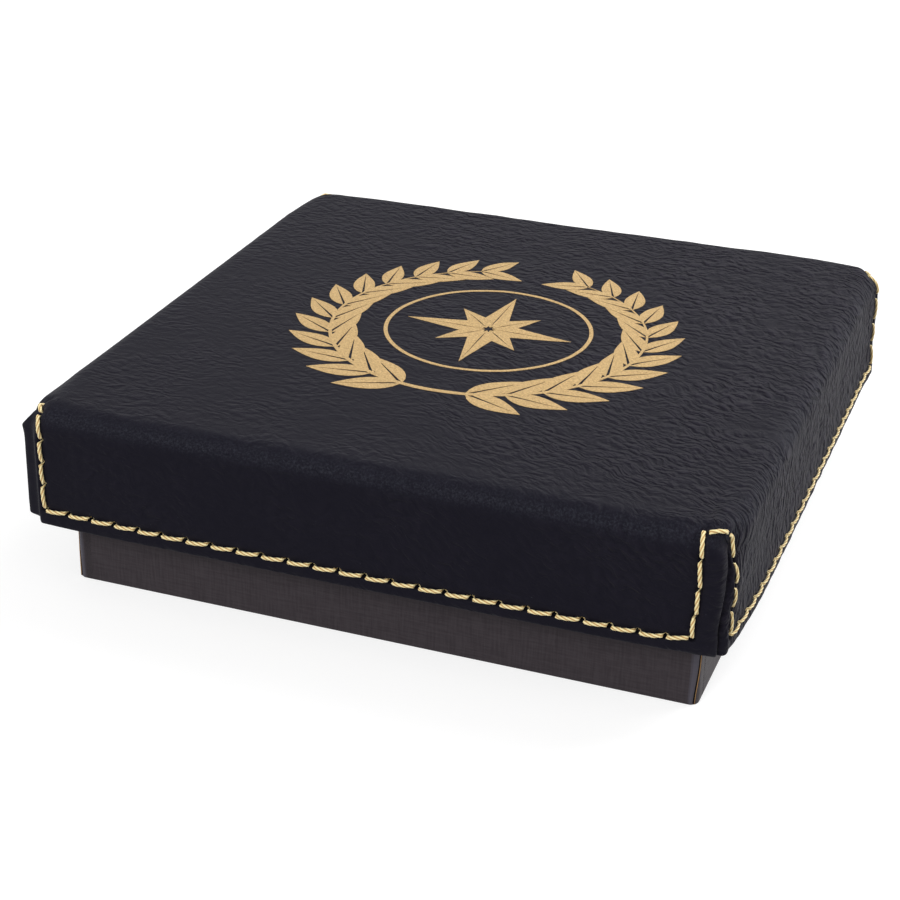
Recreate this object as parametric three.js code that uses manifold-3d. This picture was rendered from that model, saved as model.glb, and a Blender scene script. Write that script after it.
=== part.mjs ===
// A square presentation box for one medal: a stiff tray with a lift-off lid. The lid's leatherette cover
// is one cross-shaped blank, turned under at its edges, stitched all round and folded down over the lid.
// Millimetres, +Z up, front at -Y, origin at the middle of the underside.
import * as THREE from "three";
import { mergeVertices } from "three/addons/utils/BufferGeometryUtils.js";
import Module from "manifold-3d";

const wasm = await Module();
wasm.setup();

// Overall sizes
const boxHeight = 28.6;
const lidWidth = 101.6;
const lidHeight = 18.1;
const lidClearance = 1.1;

// Sheets and boards
const leather = 1.2;
const hem = 0.8;
const hemWidth = 7;
const lidBoard = 1;
const baseBoard = 1.5;
const paper = 0.2;
const stayTape = 0.2;
const stayWidth = 12;
const glueGap = 0.05;
const restGap = 0.2;
const boardSlit = 0.3;
const turnInDepth = 12;
const wrapSeam = 0.3;
const seamFromCorner = 1;
const wrapRadius = 1.5;

// Folds and free edges of the leatherette cover
const foldRadius = 3;
const cornerRadius = 4;
const lipRadius = 1.5;
const flapShort = 1.8;
const edgeRadius = 0.5;
const pullIn = 0.9;
const pullLength = 14;
const flapSlit = 0.3;
const cornerBulk = 0.2;
const liningUp = 0.8;
const cardGap = 0.3;

// Stitching
const stitchMargin = 2.6;
const sideStitchCount = 25;
const cornerStitchCount = 9;
const threadRadius = 0.36;
const threadSides = 5;
const threadCrown = 0.06;
const needleDip = 0.45;
const stitchSlant = 0.12;
const threadClear = 0.13;
const holeLength = 0.9;
const archLiftShare = 4 / 9;

// Insert that holds the medal
const insertGap = 0.3;
const lowerFoam = 11.2;
const upperFoam = 6.5;
const velour = 0.8;
const velourGap = 0.1;
const wellBorder = 8.2;
const ringNotchRadius = 7.5;
const ringNotchReach = 3;
const thumbNotchRadius = 9;
const thumbNotchReach = 6.5;

// Working values
const overrun = 1;
const weld = 1e-4;
const cornerSteps = 4;
const lipSteps = 5;
const archSteps = 10;
const wellSteps = 56;
const notchSteps = 24;

// Levels of the closed box, from the table up
const baseFloor = paper + baseBoard;
const lidTop = boxHeight;
const flapBottom = lidTop - lidHeight;
const lidTrayTop = lidTop - leather;
const liningTop = lidTrayTop - lidBoard;
const liningUnder = liningTop - paper;
const rimTop = liningUnder - restGap;
const lidWallBottom = flapBottom + liningUp;
const insertFloor = baseFloor + paper;
const upperFoamBottom = insertFloor + lowerFoam;
const upperFoamTop = upperFoamBottom + upperFoam;
const insertTop = upperFoamTop + velour;

// Half widths, from the outside in
const lidHalf = lidWidth / 2;
const staySpace = stayTape + 2 * glueGap;
const coverInner = lidHalf - leather - hem;
const lidTrayHalf = coverInner - staySpace;
const liningHalf = lidTrayHalf - lidBoard;
const baseHalf = liningHalf - paper - lidClearance;
const wrapInner = baseHalf - paper;
const baseTrayHalf = wrapInner - staySpace;
const turnInHalf = baseTrayHalf - baseBoard;
const floorHalf = turnInHalf - paper;
const facingHalf = floorHalf - insertGap;
const upperFoamHalf = facingHalf - velour - velourGap;
const wellRadius = facingHalf - wellBorder;

// Corner radii inside the cover and on the boards; a hem's gathers make the cover a little thicker there
const trayCorner = cornerRadius - leather - hem - cornerBulk;
const baseTrayRadius = wrapRadius - paper - staySpace;
const lidTrayRadius = trayCorner - staySpace;

// Colours
const leatherette = { color: 0x24242e, roughness: 0.72, metalness: 0 };
const goldThread = { color: 0xe0bd82, roughness: 0.55, metalness: 0 };
const greyboard = { color: 0x8f8a80, roughness: 0.9, metalness: 0 };
const linenPaper = { color: 0x332d30, roughness: 0.68, metalness: 0 };
const plainPaper = { color: 0x1c1b1e, roughness: 0.85, metalness: 0 };
const tape = { color: 0xb59a72, roughness: 0.8, metalness: 0 };
const foam = { color: 0x2a2a2c, roughness: 1, metalness: 0 };
const blackVelour = { color: 0x121214, roughness: 1, metalness: 0 };

const box = new THREE.Group();
const lid = new THREE.Group();
const base = new THREE.Group();
box.add(base, lid);

// A closed geometry as a solid that can be cut and joined
function solid(geometry) {
  const bare = geometry.clone();
  bare.deleteAttribute("normal");
  bare.deleteAttribute("uv");
  const merged = mergeVertices(bare, weld);
  return new wasm.Manifold(
    new wasm.Mesh({
      numProp: 3,
      vertProperties: merged.attributes.position.array,
      triVerts: new Uint32Array(merged.index.array),
    }),
  );
}

function geometryOf(body) {
  const mesh = body.getMesh();
  const geometry = new THREE.BufferGeometry();
  geometry.setAttribute("position", new THREE.BufferAttribute(mesh.vertProperties, 3));
  geometry.setIndex(new THREE.BufferAttribute(mesh.triVerts, 1));
  geometry.computeVertexNormals();
  return geometry;
}

function piece(parent, name, body, look) {
  const mesh = new THREE.Mesh(geometryOf(body), new THREE.MeshStandardMaterial(look));
  mesh.name = name;
  parent.add(mesh);
}

function block(x0, x1, y0, y1, z0, z1) {
  const geometry = new THREE.BoxGeometry(x1 - x0, y1 - y0, z1 - z0);
  geometry.translate((x0 + x1) / 2, (y0 + y1) / 2, (z0 + z1) / 2);
  return solid(geometry);
}

// A square of half width half, with rounded corners where radius is above zero, between two levels
function squarePrism(half, radius, z0, z1) {
  if (radius <= 0) return block(-half, half, -half, half, z0, z1);
  const outline = new THREE.Shape();
  const centre = half - radius;
  outline.absarc(centre, centre, radius, 0, Math.PI / 2);
  outline.absarc(-centre, centre, radius, Math.PI / 2, Math.PI);
  outline.absarc(-centre, -centre, radius, Math.PI, (3 * Math.PI) / 2);
  outline.absarc(centre, -centre, radius, (3 * Math.PI) / 2, 2 * Math.PI);
  const depth = z1 - z0;
  const geometry = new THREE.ExtrudeGeometry(outline, { depth, bevelEnabled: false, curveSegments: cornerSteps });
  geometry.translate(0, 0, z0);
  return solid(geometry);
}

function disc(x, y, radius, z0, z1, steps) {
  const geometry = new THREE.CylinderGeometry(radius, radius, z1 - z0, steps);
  geometry.rotateX(Math.PI / 2);
  geometry.translate(x, y, (z0 + z1) / 2);
  return solid(geometry);
}

const quarterTurns = [0, 1, 2, 3];
const sides = ["front", "right", "back", "left"];
const corners = ["front_right", "back_right", "back_left", "front_left"];

function turned(body, quarters) {
  return body.rotate([0, 0, 90 * quarters]);
}

function joined(bodies) {
  return bodies.reduce((whole, body) => whole.add(body));
}

// A closed skin through rings with the same number of points: a ring of rings, or capped at both ends
function skin(rings, closed) {
  const count = rings[0].length;
  const points = rings.flat();
  const faces = [];
  const bands = closed ? rings.length : rings.length - 1;
  for (let band = 0; band < bands; band += 1) {
    const low = band * count;
    const high = ((band + 1) % rings.length) * count;
    for (let i = 0; i < count; i += 1) {
      const next = (i + 1) % count;
      faces.push(low + i, low + next, high + next, low + i, high + next, high + i);
    }
  }
  if (!closed) {
    const first = points.length;
    const lastRing = (rings.length - 1) * count;
    points.push(middle(rings[0]), middle(rings[rings.length - 1]));
    for (let i = 0; i < count; i += 1) {
      const next = (i + 1) % count;
      faces.push(first, next, i, first + 1, lastRing + i, lastRing + next);
    }
  }
  const geometry = new THREE.BufferGeometry().setFromPoints(points);
  geometry.setIndex(faces);
  return geometry;
}

function middle(ring) {
  const sum = ring.reduce((total, point) => total.add(point), new THREE.Vector3());
  return sum.divideScalar(ring.length);
}

const upward = new THREE.Vector3(0, 0, 1);
const frontward = new THREE.Vector3(0, -1, 0);
const rightward = new THREE.Vector3(1, 0, 0);

function turnedPoint(point, quarters) {
  return point.clone().applyAxisAngle(upward, (quarters * Math.PI) / 2);
}

// Leatherette cover. A place near a corner is given by how far it lies along the flap from the sharp corner
// and how far in from the flap's face. The flap's end is drawn in, then rolls over in a lip; the lips of two
// flaps face each other across a groove, which closes below the rounded top corner.
const lipAlong = flapShort + lipRadius;
const flatShares = [1, 0.68, 0.42, 0.2, 0];

function drawnIn(along) {
  const share = Math.max(0, 1 - along / pullLength);
  return pullIn * share * share;
}

// Half of a corner's outline on the flap, from its flat to the groove
function flapHalf(inset) {
  const points = flatShares.map((share) => {
    const along = lipAlong + share * (pullLength - lipAlong);
    return [along, drawnIn(along) + inset];
  });
  const inward = drawnIn(lipAlong) + lipRadius;
  const radius = lipRadius - inset;
  const span = lipAlong - inward;
  const groove = (lipAlong + inward - Math.sqrt(Math.max(0, 2 * radius * radius - span * span))) / 2;
  const start = -Math.PI / 2;
  const end = Math.atan2(groove - inward, groove - lipAlong);
  const sweep = (end > 0 ? end - 2 * Math.PI : end) - start;
  for (let step = 1; step < lipSteps; step += 1) {
    const angle = start + (sweep * step) / lipSteps;
    points.push([lipAlong + radius * Math.cos(angle), inward + radius * Math.sin(angle)]);
  }
  points.push([groove, groove]);
  return points;
}

const groovePlace = flapHalf(0)[flatShares.length + lipSteps - 1][0];

// Half of a corner's outline on the rounded top, at an angle up its fold
function topHalf(fold) {
  const points = flatShares.map((share) => {
    const along = cornerRadius + share * (pullLength - cornerRadius);
    const radius = THREE.MathUtils.lerp(cornerRadius, foldRadius, share);
    return [along, radius * (1 - Math.cos(fold)), radius];
  });
  const radius = cornerRadius * Math.cos(fold);
  for (let step = 1; step <= lipSteps; step += 1) {
    const angle = -Math.PI / 2 - (Math.PI / 4) * (step / lipSteps);
    const along = cornerRadius + radius * Math.cos(angle);
    const inward = cornerRadius + radius * Math.sin(angle);
    points.push([along, inward, cornerRadius]);
  }
  return points;
}

// One level of the cover: on the flaps at a height, or up the fold where fold is above zero
function coverRing({ height, inset = 0, fold = 0, roundShare = 0 }) {
  const flap = flapHalf(inset);
  const top = topHalf(fold);
  const half = flap.map(([along, inward], i) => {
    const [topAlong, topInward, radius] = top[i];
    const z = height ?? lidTop - radius * (1 - Math.sin(fold));
    return [
      THREE.MathUtils.lerp(along, topAlong, roundShare),
      THREE.MathUtils.lerp(inward, topInward, roundShare),
      z,
    ];
  });
  const corner = half.map(([along, inward, z]) => new THREE.Vector3(lidHalf - along, inward - lidHalf, z));
  half
    .slice(0, -1)
    .reverse()
    .forEach(([along, inward, z]) => corner.push(new THREE.Vector3(lidHalf - inward, along - lidHalf, z)));
  return quarterTurns.flatMap((quarter) => corner.map((point) => turnedPoint(point, quarter)));
}

const grooveTop = lidTop - cornerRadius;
const edgeCurve = 1 - Math.SQRT1_2;
const coverLevels = [
  { height: flapBottom, inset: edgeRadius },
  { height: flapBottom + edgeRadius * edgeCurve, inset: edgeRadius * edgeCurve },
  { height: flapBottom + edgeRadius },
  { height: grooveTop - lipRadius },
  { height: grooveTop - lipRadius / 2, roundShare: 0.3 },
  { roundShare: 0.75 },
  { fold: Math.PI / 8, roundShare: 1 },
  { fold: Math.PI / 4, roundShare: 1 },
  { fold: (3 * Math.PI) / 8, roundShare: 1 },
  { fold: Math.PI / 2, roundShare: 1 },
];
const coverSkin = new THREE.Mesh(
  skin(coverLevels.map(coverRing), false),
  new THREE.MeshStandardMaterial({ side: THREE.DoubleSide }),
);
const caster = new THREE.Raycaster();

// Where a line from a point inside the cover comes out through its face
function faceOf(from, direction) {
  caster.set(from, direction.clone().normalize());
  return caster.intersectObject(coverSkin)[0].point;
}

// The stitch line, one flap's bottom row and the corner after it: up the flap, over the corner and down the next
const rowAlong = flapShort + stitchMargin;
const rowHeight = flapBottom + stitchMargin;
const archHeight = lidTop - foldRadius;
const rowEnd = lidHalf - rowAlong;

function bottomRow(extra) {
  const alongs = [...flatShares.map((share) => lipAlong + share * (pullLength - lipAlong)), rowAlong - extra]
    .filter((along) => along >= rowAlong - extra)
    .sort((a, b) => a - b);
  const places = [...alongs.map((along) => along - lidHalf), ...alongs.map((along) => lidHalf - along).reverse()];
  return places.map((x) => ({
    point: faceOf(new THREE.Vector3(x, 0, rowHeight), frontward),
    normal: frontward.clone(),
  }));
}

function cornerRun(extra) {
  const axis = new THREE.Vector3(rowEnd, -rowEnd, 0);
  const levels = coverLevels
    .map((level) => level.height)
    .filter((height) => height > rowHeight && height < archHeight);
  const legs = [rowHeight - extra, ...levels];
  const up = legs.map((z) => faceOf(axis.clone().setZ(z), frontward));
  const down = legs.map((z) => faceOf(axis.clone().setZ(z), rightward)).reverse();
  const arch = [];
  for (let step = 0; step <= archSteps; step += 1) {
    const share = step / archSteps;
    const azimuth = -Math.PI / 2 + (Math.PI / 4) * (1 - Math.cos(Math.PI * share));
    const lift = archLiftShare * (Math.PI / 2) * Math.sin(Math.PI * share);
    const direction = new THREE.Vector3(
      Math.cos(azimuth) * Math.cos(lift),
      Math.sin(azimuth) * Math.cos(lift),
      Math.sin(lift),
    );
    arch.push(faceOf(axis.clone().setZ(archHeight), direction));
  }
  return [...up, ...arch, ...down].map((point) => {
    const centre = axis.clone().setZ(Math.min(point.z, grooveTop));
    return { point, normal: point.clone().sub(centre).normalize() };
  });
}

// The place at a distance along a line of places, with its directions along and across the line
function placeAt(line, distance) {
  let left = distance;
  let index = 0;
  let step = line[1].point.distanceTo(line[0].point);
  while (left > step && index < line.length - 2) {
    left -= step;
    index += 1;
    step = line[index + 1].point.distanceTo(line[index].point);
  }
  const share = left / step;
  const from = line[index];
  const to = line[index + 1];
  const normal = from.normal.clone().lerp(to.normal, share).normalize();
  return frameAt(from.point.clone().lerp(to.point, share), normal, to.point.clone().sub(from.point));
}

function frameAt(point, normal, heading) {
  const across = normal.clone().cross(heading).normalize();
  const along = across.clone().cross(normal).normalize();
  return { point, normal, across, along };
}

function lineLength(line) {
  return line.slice(1).reduce((sum, place, i) => sum + place.point.distanceTo(line[i].point), 0);
}

// The frames of a line's own places, each square to the mean of the two steps that meet there
function frames(line) {
  return line.map(({ point, normal }, i) => {
    const before = line[Math.max(0, i - 1)].point;
    const after = line[Math.min(line.length - 1, i + 1)].point;
    return frameAt(point, normal, after.clone().sub(before));
  });
}

function offset(frame, across, height) {
  return frame.point.clone().addScaledVector(frame.across, across).addScaledVector(frame.normal, height);
}

// The shallow furrow that the thread has pressed along a line
const furrowHalf = threadRadius + stitchSlant + threadClear;
const furrowDepth = threadRadius + threadClear;

function furrow(line) {
  const rings = frames(line).map((frame) => [
    offset(frame, -furrowHalf, overrun),
    offset(frame, -furrowHalf, -furrowDepth),
    offset(frame, furrowHalf, -furrowDepth),
    offset(frame, furrowHalf, overrun),
  ]);
  return solid(skin(rings, false));
}

// A needle hole, cut down from the furrow
const dipShare = 0.7;
const holeDepth = needleDip + threadRadius * dipShare + threadClear;

function needleHole(frame) {
  const geometry = new THREE.BoxGeometry(holeLength, holeLength, holeDepth + overrun);
  geometry.translate(0, 0, (overrun - holeDepth) / 2);
  geometry.applyMatrix4(new THREE.Matrix4().makeBasis(frame.along, frame.across, frame.normal));
  geometry.translate(frame.point.x, frame.point.y, frame.point.z);
  return solid(geometry);
}

// One section of the thread, across its line
function threadRing(frame, across, height, radius) {
  const ring = [];
  for (let side = 0; side < threadSides; side += 1) {
    const angle = (2 * Math.PI * side) / threadSides - Math.PI / 2;
    ring.push(offset(frame, across + radius * Math.cos(angle), height + radius * Math.sin(angle)));
  }
  return ring;
}

// The stitches along a line, each from the bottom of one needle hole to just before the next
const riseShare = 0.14;

function stitches(line, count, firstHole) {
  const length = lineLength(line);
  const pitch = length / count;
  const rings = [];
  const holes = [];
  for (let i = 0; i < count; i += 1) {
    const start = i * pitch;
    const hole = i === 0 && firstHole ? firstHole : placeAt(line, start);
    holes.push(hole);
    rings.push(
      threadRing(hole, 0, -needleDip, threadRadius * dipShare),
      threadRing(placeAt(line, start + riseShare * pitch), -stitchSlant, 0, threadRadius),
      threadRing(placeAt(line, start + pitch / 2), 0, threadCrown, threadRadius),
      threadRing(placeAt(line, start + (1 - riseShare) * pitch), stitchSlant, 0, threadRadius),
    );
  }
  return { rings, holes };
}

const rowLine = bottomRow(0);
const cornerLine = cornerRun(0);
const rowLast = placeAt(rowLine, lineLength(rowLine));
const cornerFirst = placeAt(cornerLine, 0);
const turnHole = frameAt(rowLast.point, rowLast.normal, rowLast.along.clone().add(cornerFirst.along));
const rowFirst = placeAt(rowLine, 0);
const cornerLast = placeAt(cornerLine, lineLength(cornerLine));
const arrival = turnedPoint(cornerLast.along, -1);
const startHole = frameAt(rowFirst.point, rowFirst.normal, rowFirst.along.clone().add(arrival));
const rowStitching = stitches(rowLine, sideStitchCount, startHole);
const cornerStitching = stitches(cornerLine, cornerStitchCount, turnHole);

function leatheretteCover() {
  const body = solid(coverSkin.geometry);
  const sideCuts = [
    furrow(bottomRow(furrowHalf)),
    furrow(cornerRun(furrowHalf)),
    ...rowStitching.holes.map(needleHole),
    ...cornerStitching.holes.map(needleHole),
    cardPocket(),
    flapGap(),
  ];
  const sideCut = joined(sideCuts);
  const hollow = squarePrism(coverInner, trayCorner, flapBottom - overrun, lidTrayTop);
  return quarterTurns.reduce((cover, quarter) => cover.subtract(turned(sideCut, quarter)), body).subtract(hollow);
}

// The pocket inside a flap, between its turned-under edges
const pocketHalf = lidHalf - flapShort - hemWidth;
const pocketBottom = flapBottom + hemWidth;
const pocketTop = lidTop - foldRadius;

function cardPocket() {
  return block(-pocketHalf, pocketHalf, leather - lidHalf, overrun - coverInner, pocketBottom, pocketTop);
}

// The cut between the end of one flap and the next, on the corner's diagonal
function flapGap() {
  const length = lidHalf - coverInner + trayCorner;
  const geometry = new THREE.BoxGeometry(length, flapSlit, grooveTop - lipRadius - flapBottom + overrun);
  geometry.rotateZ(-Math.PI / 4);
  const place = lidHalf - groovePlace - (length / 2) * Math.SQRT1_2;
  geometry.translate(place, -place, (grooveTop - lipRadius + flapBottom - overrun) / 2);
  return solid(geometry);
}

// One unbroken thread round the whole blank
function stitchThread() {
  const quarter = [...rowStitching.rings, ...cornerStitching.rings];
  const rings = quarterTurns.flatMap((turns) =>
    quarter.map((ring) => ring.map((point) => turnedPoint(point, turns))),
  );
  return solid(skin(rings, true));
}

function flapCard() {
  const half = pocketHalf - cardGap;
  return block(-half, half, leather - lidHalf, -coverInner, pocketBottom + cardGap, pocketTop - cardGap);
}

// A stiff tray scored and folded from one board: its walls meet at a slit on each corner's diagonal
function boardTray(half, radius, board, floorLow, floorHigh, wallLow, wallHigh) {
  const inner = half - board;
  const hollowLow = wallLow < floorLow ? wallLow - overrun : floorHigh;
  const hollowHigh = wallLow < floorLow ? floorLow : wallHigh + overrun;
  const outer = squarePrism(half, radius, Math.min(wallLow, floorLow), Math.max(wallHigh, floorHigh));
  const hollow = block(-inner, inner, -inner, inner, hollowLow, hollowHigh);
  const slit = new THREE.BoxGeometry(4 * board, boardSlit, hollowHigh - hollowLow);
  slit.rotateZ(-Math.PI / 4);
  slit.translate(inner, -inner, (hollowLow + hollowHigh) / 2);
  return quarterTurns.reduce((tray, quarter) => tray.subtract(turned(solid(slit), quarter)), outer.subtract(hollow));
}

// The tape that holds two walls of a tray together, bent round the outside of one corner
function cornerStay(trayHalf, trayRadius, z0, z1) {
  const near = trayHalf + glueGap;
  const far = near + stayTape;
  const band = squarePrism(far, trayRadius + glueGap + stayTape, z0, z1).subtract(
    squarePrism(near, trayRadius + glueGap, z0 - overrun, z1 + overrun),
  );
  return band.intersect(block(far - stayWidth, far, -far, stayWidth - far, z0, z1));
}

// The lid's paper lining, turned out under the lower edge of the walls
function lidLining() {
  const shell = squarePrism(liningHalf, 0, lidWallBottom - paper, liningTop);
  const flange = squarePrism(lidTrayHalf, lidTrayRadius, lidWallBottom - paper, lidWallBottom);
  const hollowHalf = liningHalf - paper;
  return shell.add(flange).subtract(squarePrism(hollowHalf, 0, flapBottom, liningUnder));
}

// The base's paper wrap: underside, walls, over the rim and down inside, cut beside each corner
function baseWrap() {
  const outer = squarePrism(baseHalf, wrapRadius, 0, rimTop);
  const filling = squarePrism(wrapInner, wrapRadius - paper, paper, rimTop - paper);
  const turnIn = block(-turnInHalf, turnInHalf, -turnInHalf, turnInHalf, rimTop - turnInDepth, rimTop);
  const hollow = block(-floorHalf, floorHalf, -floorHalf, floorHalf, paper, rimTop + overrun);
  const seamX = [baseHalf - overrun, baseHalf + overrun];
  const seamY = [seamFromCorner - baseHalf, seamFromCorner + wrapSeam - baseHalf];
  const seam = block(...seamX, ...seamY, 2 * paper, rimTop - 2 * paper);
  const otherSeam = block(...seamX, -seamY[1], -seamY[0], 2 * paper, rimTop - 2 * paper);
  const seams = seam.add(otherSeam);
  return outer.subtract(filling).add(turnIn).subtract(hollow).subtract(seams).subtract(turned(seams, 2));
}

// The well for the medal, with a notch for its ring at the back and two for the fingers, grown by an amount
function well(grow, z0, z1) {
  const ringY = wellRadius + ringNotchReach - ringNotchRadius;
  const thumb = (wellRadius + thumbNotchReach - thumbNotchRadius) * Math.SQRT1_2;
  return joined([
    disc(0, 0, wellRadius + grow, z0, z1, wellSteps),
    disc(0, ringY, ringNotchRadius + grow, z0, z1, notchSteps),
    disc(thumb, -thumb, thumbNotchRadius + grow, z0, z1, notchSteps),
    disc(-thumb, -thumb, thumbNotchRadius + grow, z0, z1, notchSteps),
  ]);
}

// The velour over the upper foam, turned down round its outside and into the well
function insertFacing() {
  const outer = squarePrism(facingHalf, 0, upperFoamBottom, insertTop);
  const foamSpace = squarePrism(upperFoamHalf + velourGap, 0, upperFoamBottom - overrun, upperFoamTop);
  const collar = well(velour, upperFoamBottom, insertTop);
  const hole = well(0, upperFoamBottom - overrun, insertTop + overrun);
  return outer.subtract(foamSpace).add(collar).subtract(hole);
}

function upperFoamBody() {
  const outer = squarePrism(upperFoamHalf, 0, upperFoamBottom, upperFoamTop);
  return outer.subtract(well(velour + velourGap, upperFoamBottom - overrun, upperFoamTop + overrun));
}

// Base and insert
piece(base, "base_wrap", baseWrap(), linenPaper);
piece(
  base,
  "base_tray",
  boardTray(baseTrayHalf, baseTrayRadius, baseBoard, paper, baseFloor, baseFloor, rimTop - paper),
  greyboard,
);
const baseStay = cornerStay(baseTrayHalf, baseTrayRadius, baseFloor, rimTop - 2 * paper);
corners.forEach((corner, i) => piece(base, `base_corner_stay_${corner}`, turned(baseStay, i), tape));
piece(base, "base_floor_paper", squarePrism(floorHalf, 0, baseFloor, insertFloor), plainPaper);
piece(base, "insert_lower_foam", squarePrism(facingHalf, 0, insertFloor, upperFoamBottom), foam);
piece(base, "insert_upper_foam", upperFoamBody(), foam);
piece(base, "insert_facing", insertFacing(), blackVelour);
piece(
  base,
  "well_floor_pad",
  well(-velourGap, upperFoamBottom, upperFoamBottom + velour),
  blackVelour,
);

// Lid
piece(lid, "leatherette_cover", leatheretteCover(), leatherette);
piece(lid, "cover_thread", stitchThread(), goldThread);
sides.forEach((side, i) => piece(lid, `flap_card_${side}`, turned(flapCard(), i), greyboard));
piece(
  lid,
  "lid_tray",
  boardTray(lidTrayHalf, lidTrayRadius, lidBoard, liningTop, lidTrayTop, lidWallBottom, liningTop),
  greyboard,
);
const lidStay = cornerStay(lidTrayHalf, lidTrayRadius, lidWallBottom, lidTrayTop - 2 * paper);
corners.forEach((corner, i) => piece(lid, `lid_corner_stay_${corner}`, turned(lidStay, i), tape));
piece(lid, "lid_lining", lidLining(), plainPaper);

export default box;
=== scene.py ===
# The looks of a square presentation box for one medal: its stitched leatherette lid, its linen-paper
# tray and its velour-faced insert. Metres, +Z up, front at -Y, as in the frame.
import math

import bmesh
import bpy
import numpy as np
from mathutils import Matrix, Vector, noise
from mathutils.bvhtree import BVHTree
from mathutils.kdtree import KDTree


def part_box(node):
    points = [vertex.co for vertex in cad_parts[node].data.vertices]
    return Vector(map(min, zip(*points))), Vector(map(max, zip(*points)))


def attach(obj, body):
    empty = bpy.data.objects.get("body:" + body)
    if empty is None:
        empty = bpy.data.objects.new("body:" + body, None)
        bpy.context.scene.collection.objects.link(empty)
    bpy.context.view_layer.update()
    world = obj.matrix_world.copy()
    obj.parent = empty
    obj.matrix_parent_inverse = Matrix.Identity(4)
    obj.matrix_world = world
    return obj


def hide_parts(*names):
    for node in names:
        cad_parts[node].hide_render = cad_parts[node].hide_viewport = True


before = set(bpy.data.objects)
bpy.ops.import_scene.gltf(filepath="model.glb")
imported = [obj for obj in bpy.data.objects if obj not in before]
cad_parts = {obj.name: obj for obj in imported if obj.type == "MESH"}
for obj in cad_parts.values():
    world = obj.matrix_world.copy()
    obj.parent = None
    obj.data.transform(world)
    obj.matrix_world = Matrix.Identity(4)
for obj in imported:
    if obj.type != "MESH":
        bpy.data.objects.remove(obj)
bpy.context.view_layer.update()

mm = 0.001
quarter = math.pi / 2

# Sizes that the frame gives
cover_low, cover_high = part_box("leatherette_cover")
card_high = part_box("flap_card_front")[1]
lid_tray_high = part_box("lid_tray")[1]
wrap_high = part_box("base_wrap")[1]
facing_low, facing_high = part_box("insert_facing")
pad_low, pad_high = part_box("well_floor_pad")
stay_low, stay_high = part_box("lid_corner_stay_front_right")
lid_half = cover_high.x
lid_top = cover_high.z
flap_bottom = cover_low.z - 0.25 * mm
cover_inner = -card_high.y
cover_ceiling = lid_tray_high.z
base_half = wrap_high.x
rim_top = wrap_high.z
facing_half = facing_high.x
facing_top = facing_high.z
facing_bottom = facing_low.z

# Cover: folds and free edges, as the solid has them
fold_radius = 3 * mm
corner_radius = 4 * mm
lip_radius = 1.25 * mm
flap_short = 1.5 * mm
pull_in = 0.5 * mm
pull_length = 14 * mm
inner_corner = 1.8 * mm
roll_in = 0.32 * mm
roll_up = 0.42 * mm
lip_along = flap_short + lip_radius
rise_start = lid_top - corner_radius - 0.9 * mm

# Stitching
side_stitches = 25
row_height = flap_bottom + 2.2 * mm
right_margin = 4.4 * mm
left_margin = 3.3 * mm
side_pitch = (2 * lid_half - right_margin - left_margin) / side_stitches
arch_height = lid_top - fold_radius


# Camera: where the photograph was taken from
frame_pixels = 900
focal_pixels = 2078.3
camera_azimuth = math.radians(20.08)
camera_elevation = math.radians(26.16)
camera_roll = math.radians(0.98)
camera_distance = 2.9113 * 2 * lid_half
look_at = Vector((3.61 * mm, -25.96 * mm, 20.66 * mm))


def add_object(name, data):
    made = bpy.data.objects.new(name, data)
    bpy.context.scene.collection.objects.link(made)
    return made


def make_camera():
    back = Vector((
        math.sin(camera_azimuth) * math.cos(camera_elevation),
        -math.cos(camera_azimuth) * math.cos(camera_elevation),
        math.sin(camera_elevation),
    ))
    right = Vector((0, 0, 1)).cross(back).normalized()
    up = back.cross(right)
    rolled_right = math.cos(camera_roll) * right + math.sin(camera_roll) * up
    rolled_up = -math.sin(camera_roll) * right + math.cos(camera_roll) * up
    data = bpy.data.cameras.new("camera")
    data.sensor_width = 36
    data.lens = data.sensor_width * focal_pixels / frame_pixels
    data.clip_start = 0.01
    data.clip_end = 10
    camera = add_object("camera", data)
    turn = Matrix((rolled_right, rolled_up, back)).transposed()
    camera.matrix_world = Matrix.Translation(look_at + back * camera_distance) @ turn.to_4x4()
    bpy.context.scene.camera = camera


# Node building. A mix node's sockets for colours go by number, because their names repeat.
mix_share, mix_low, mix_high, mix_result = 0, 6, 7, 2


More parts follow.
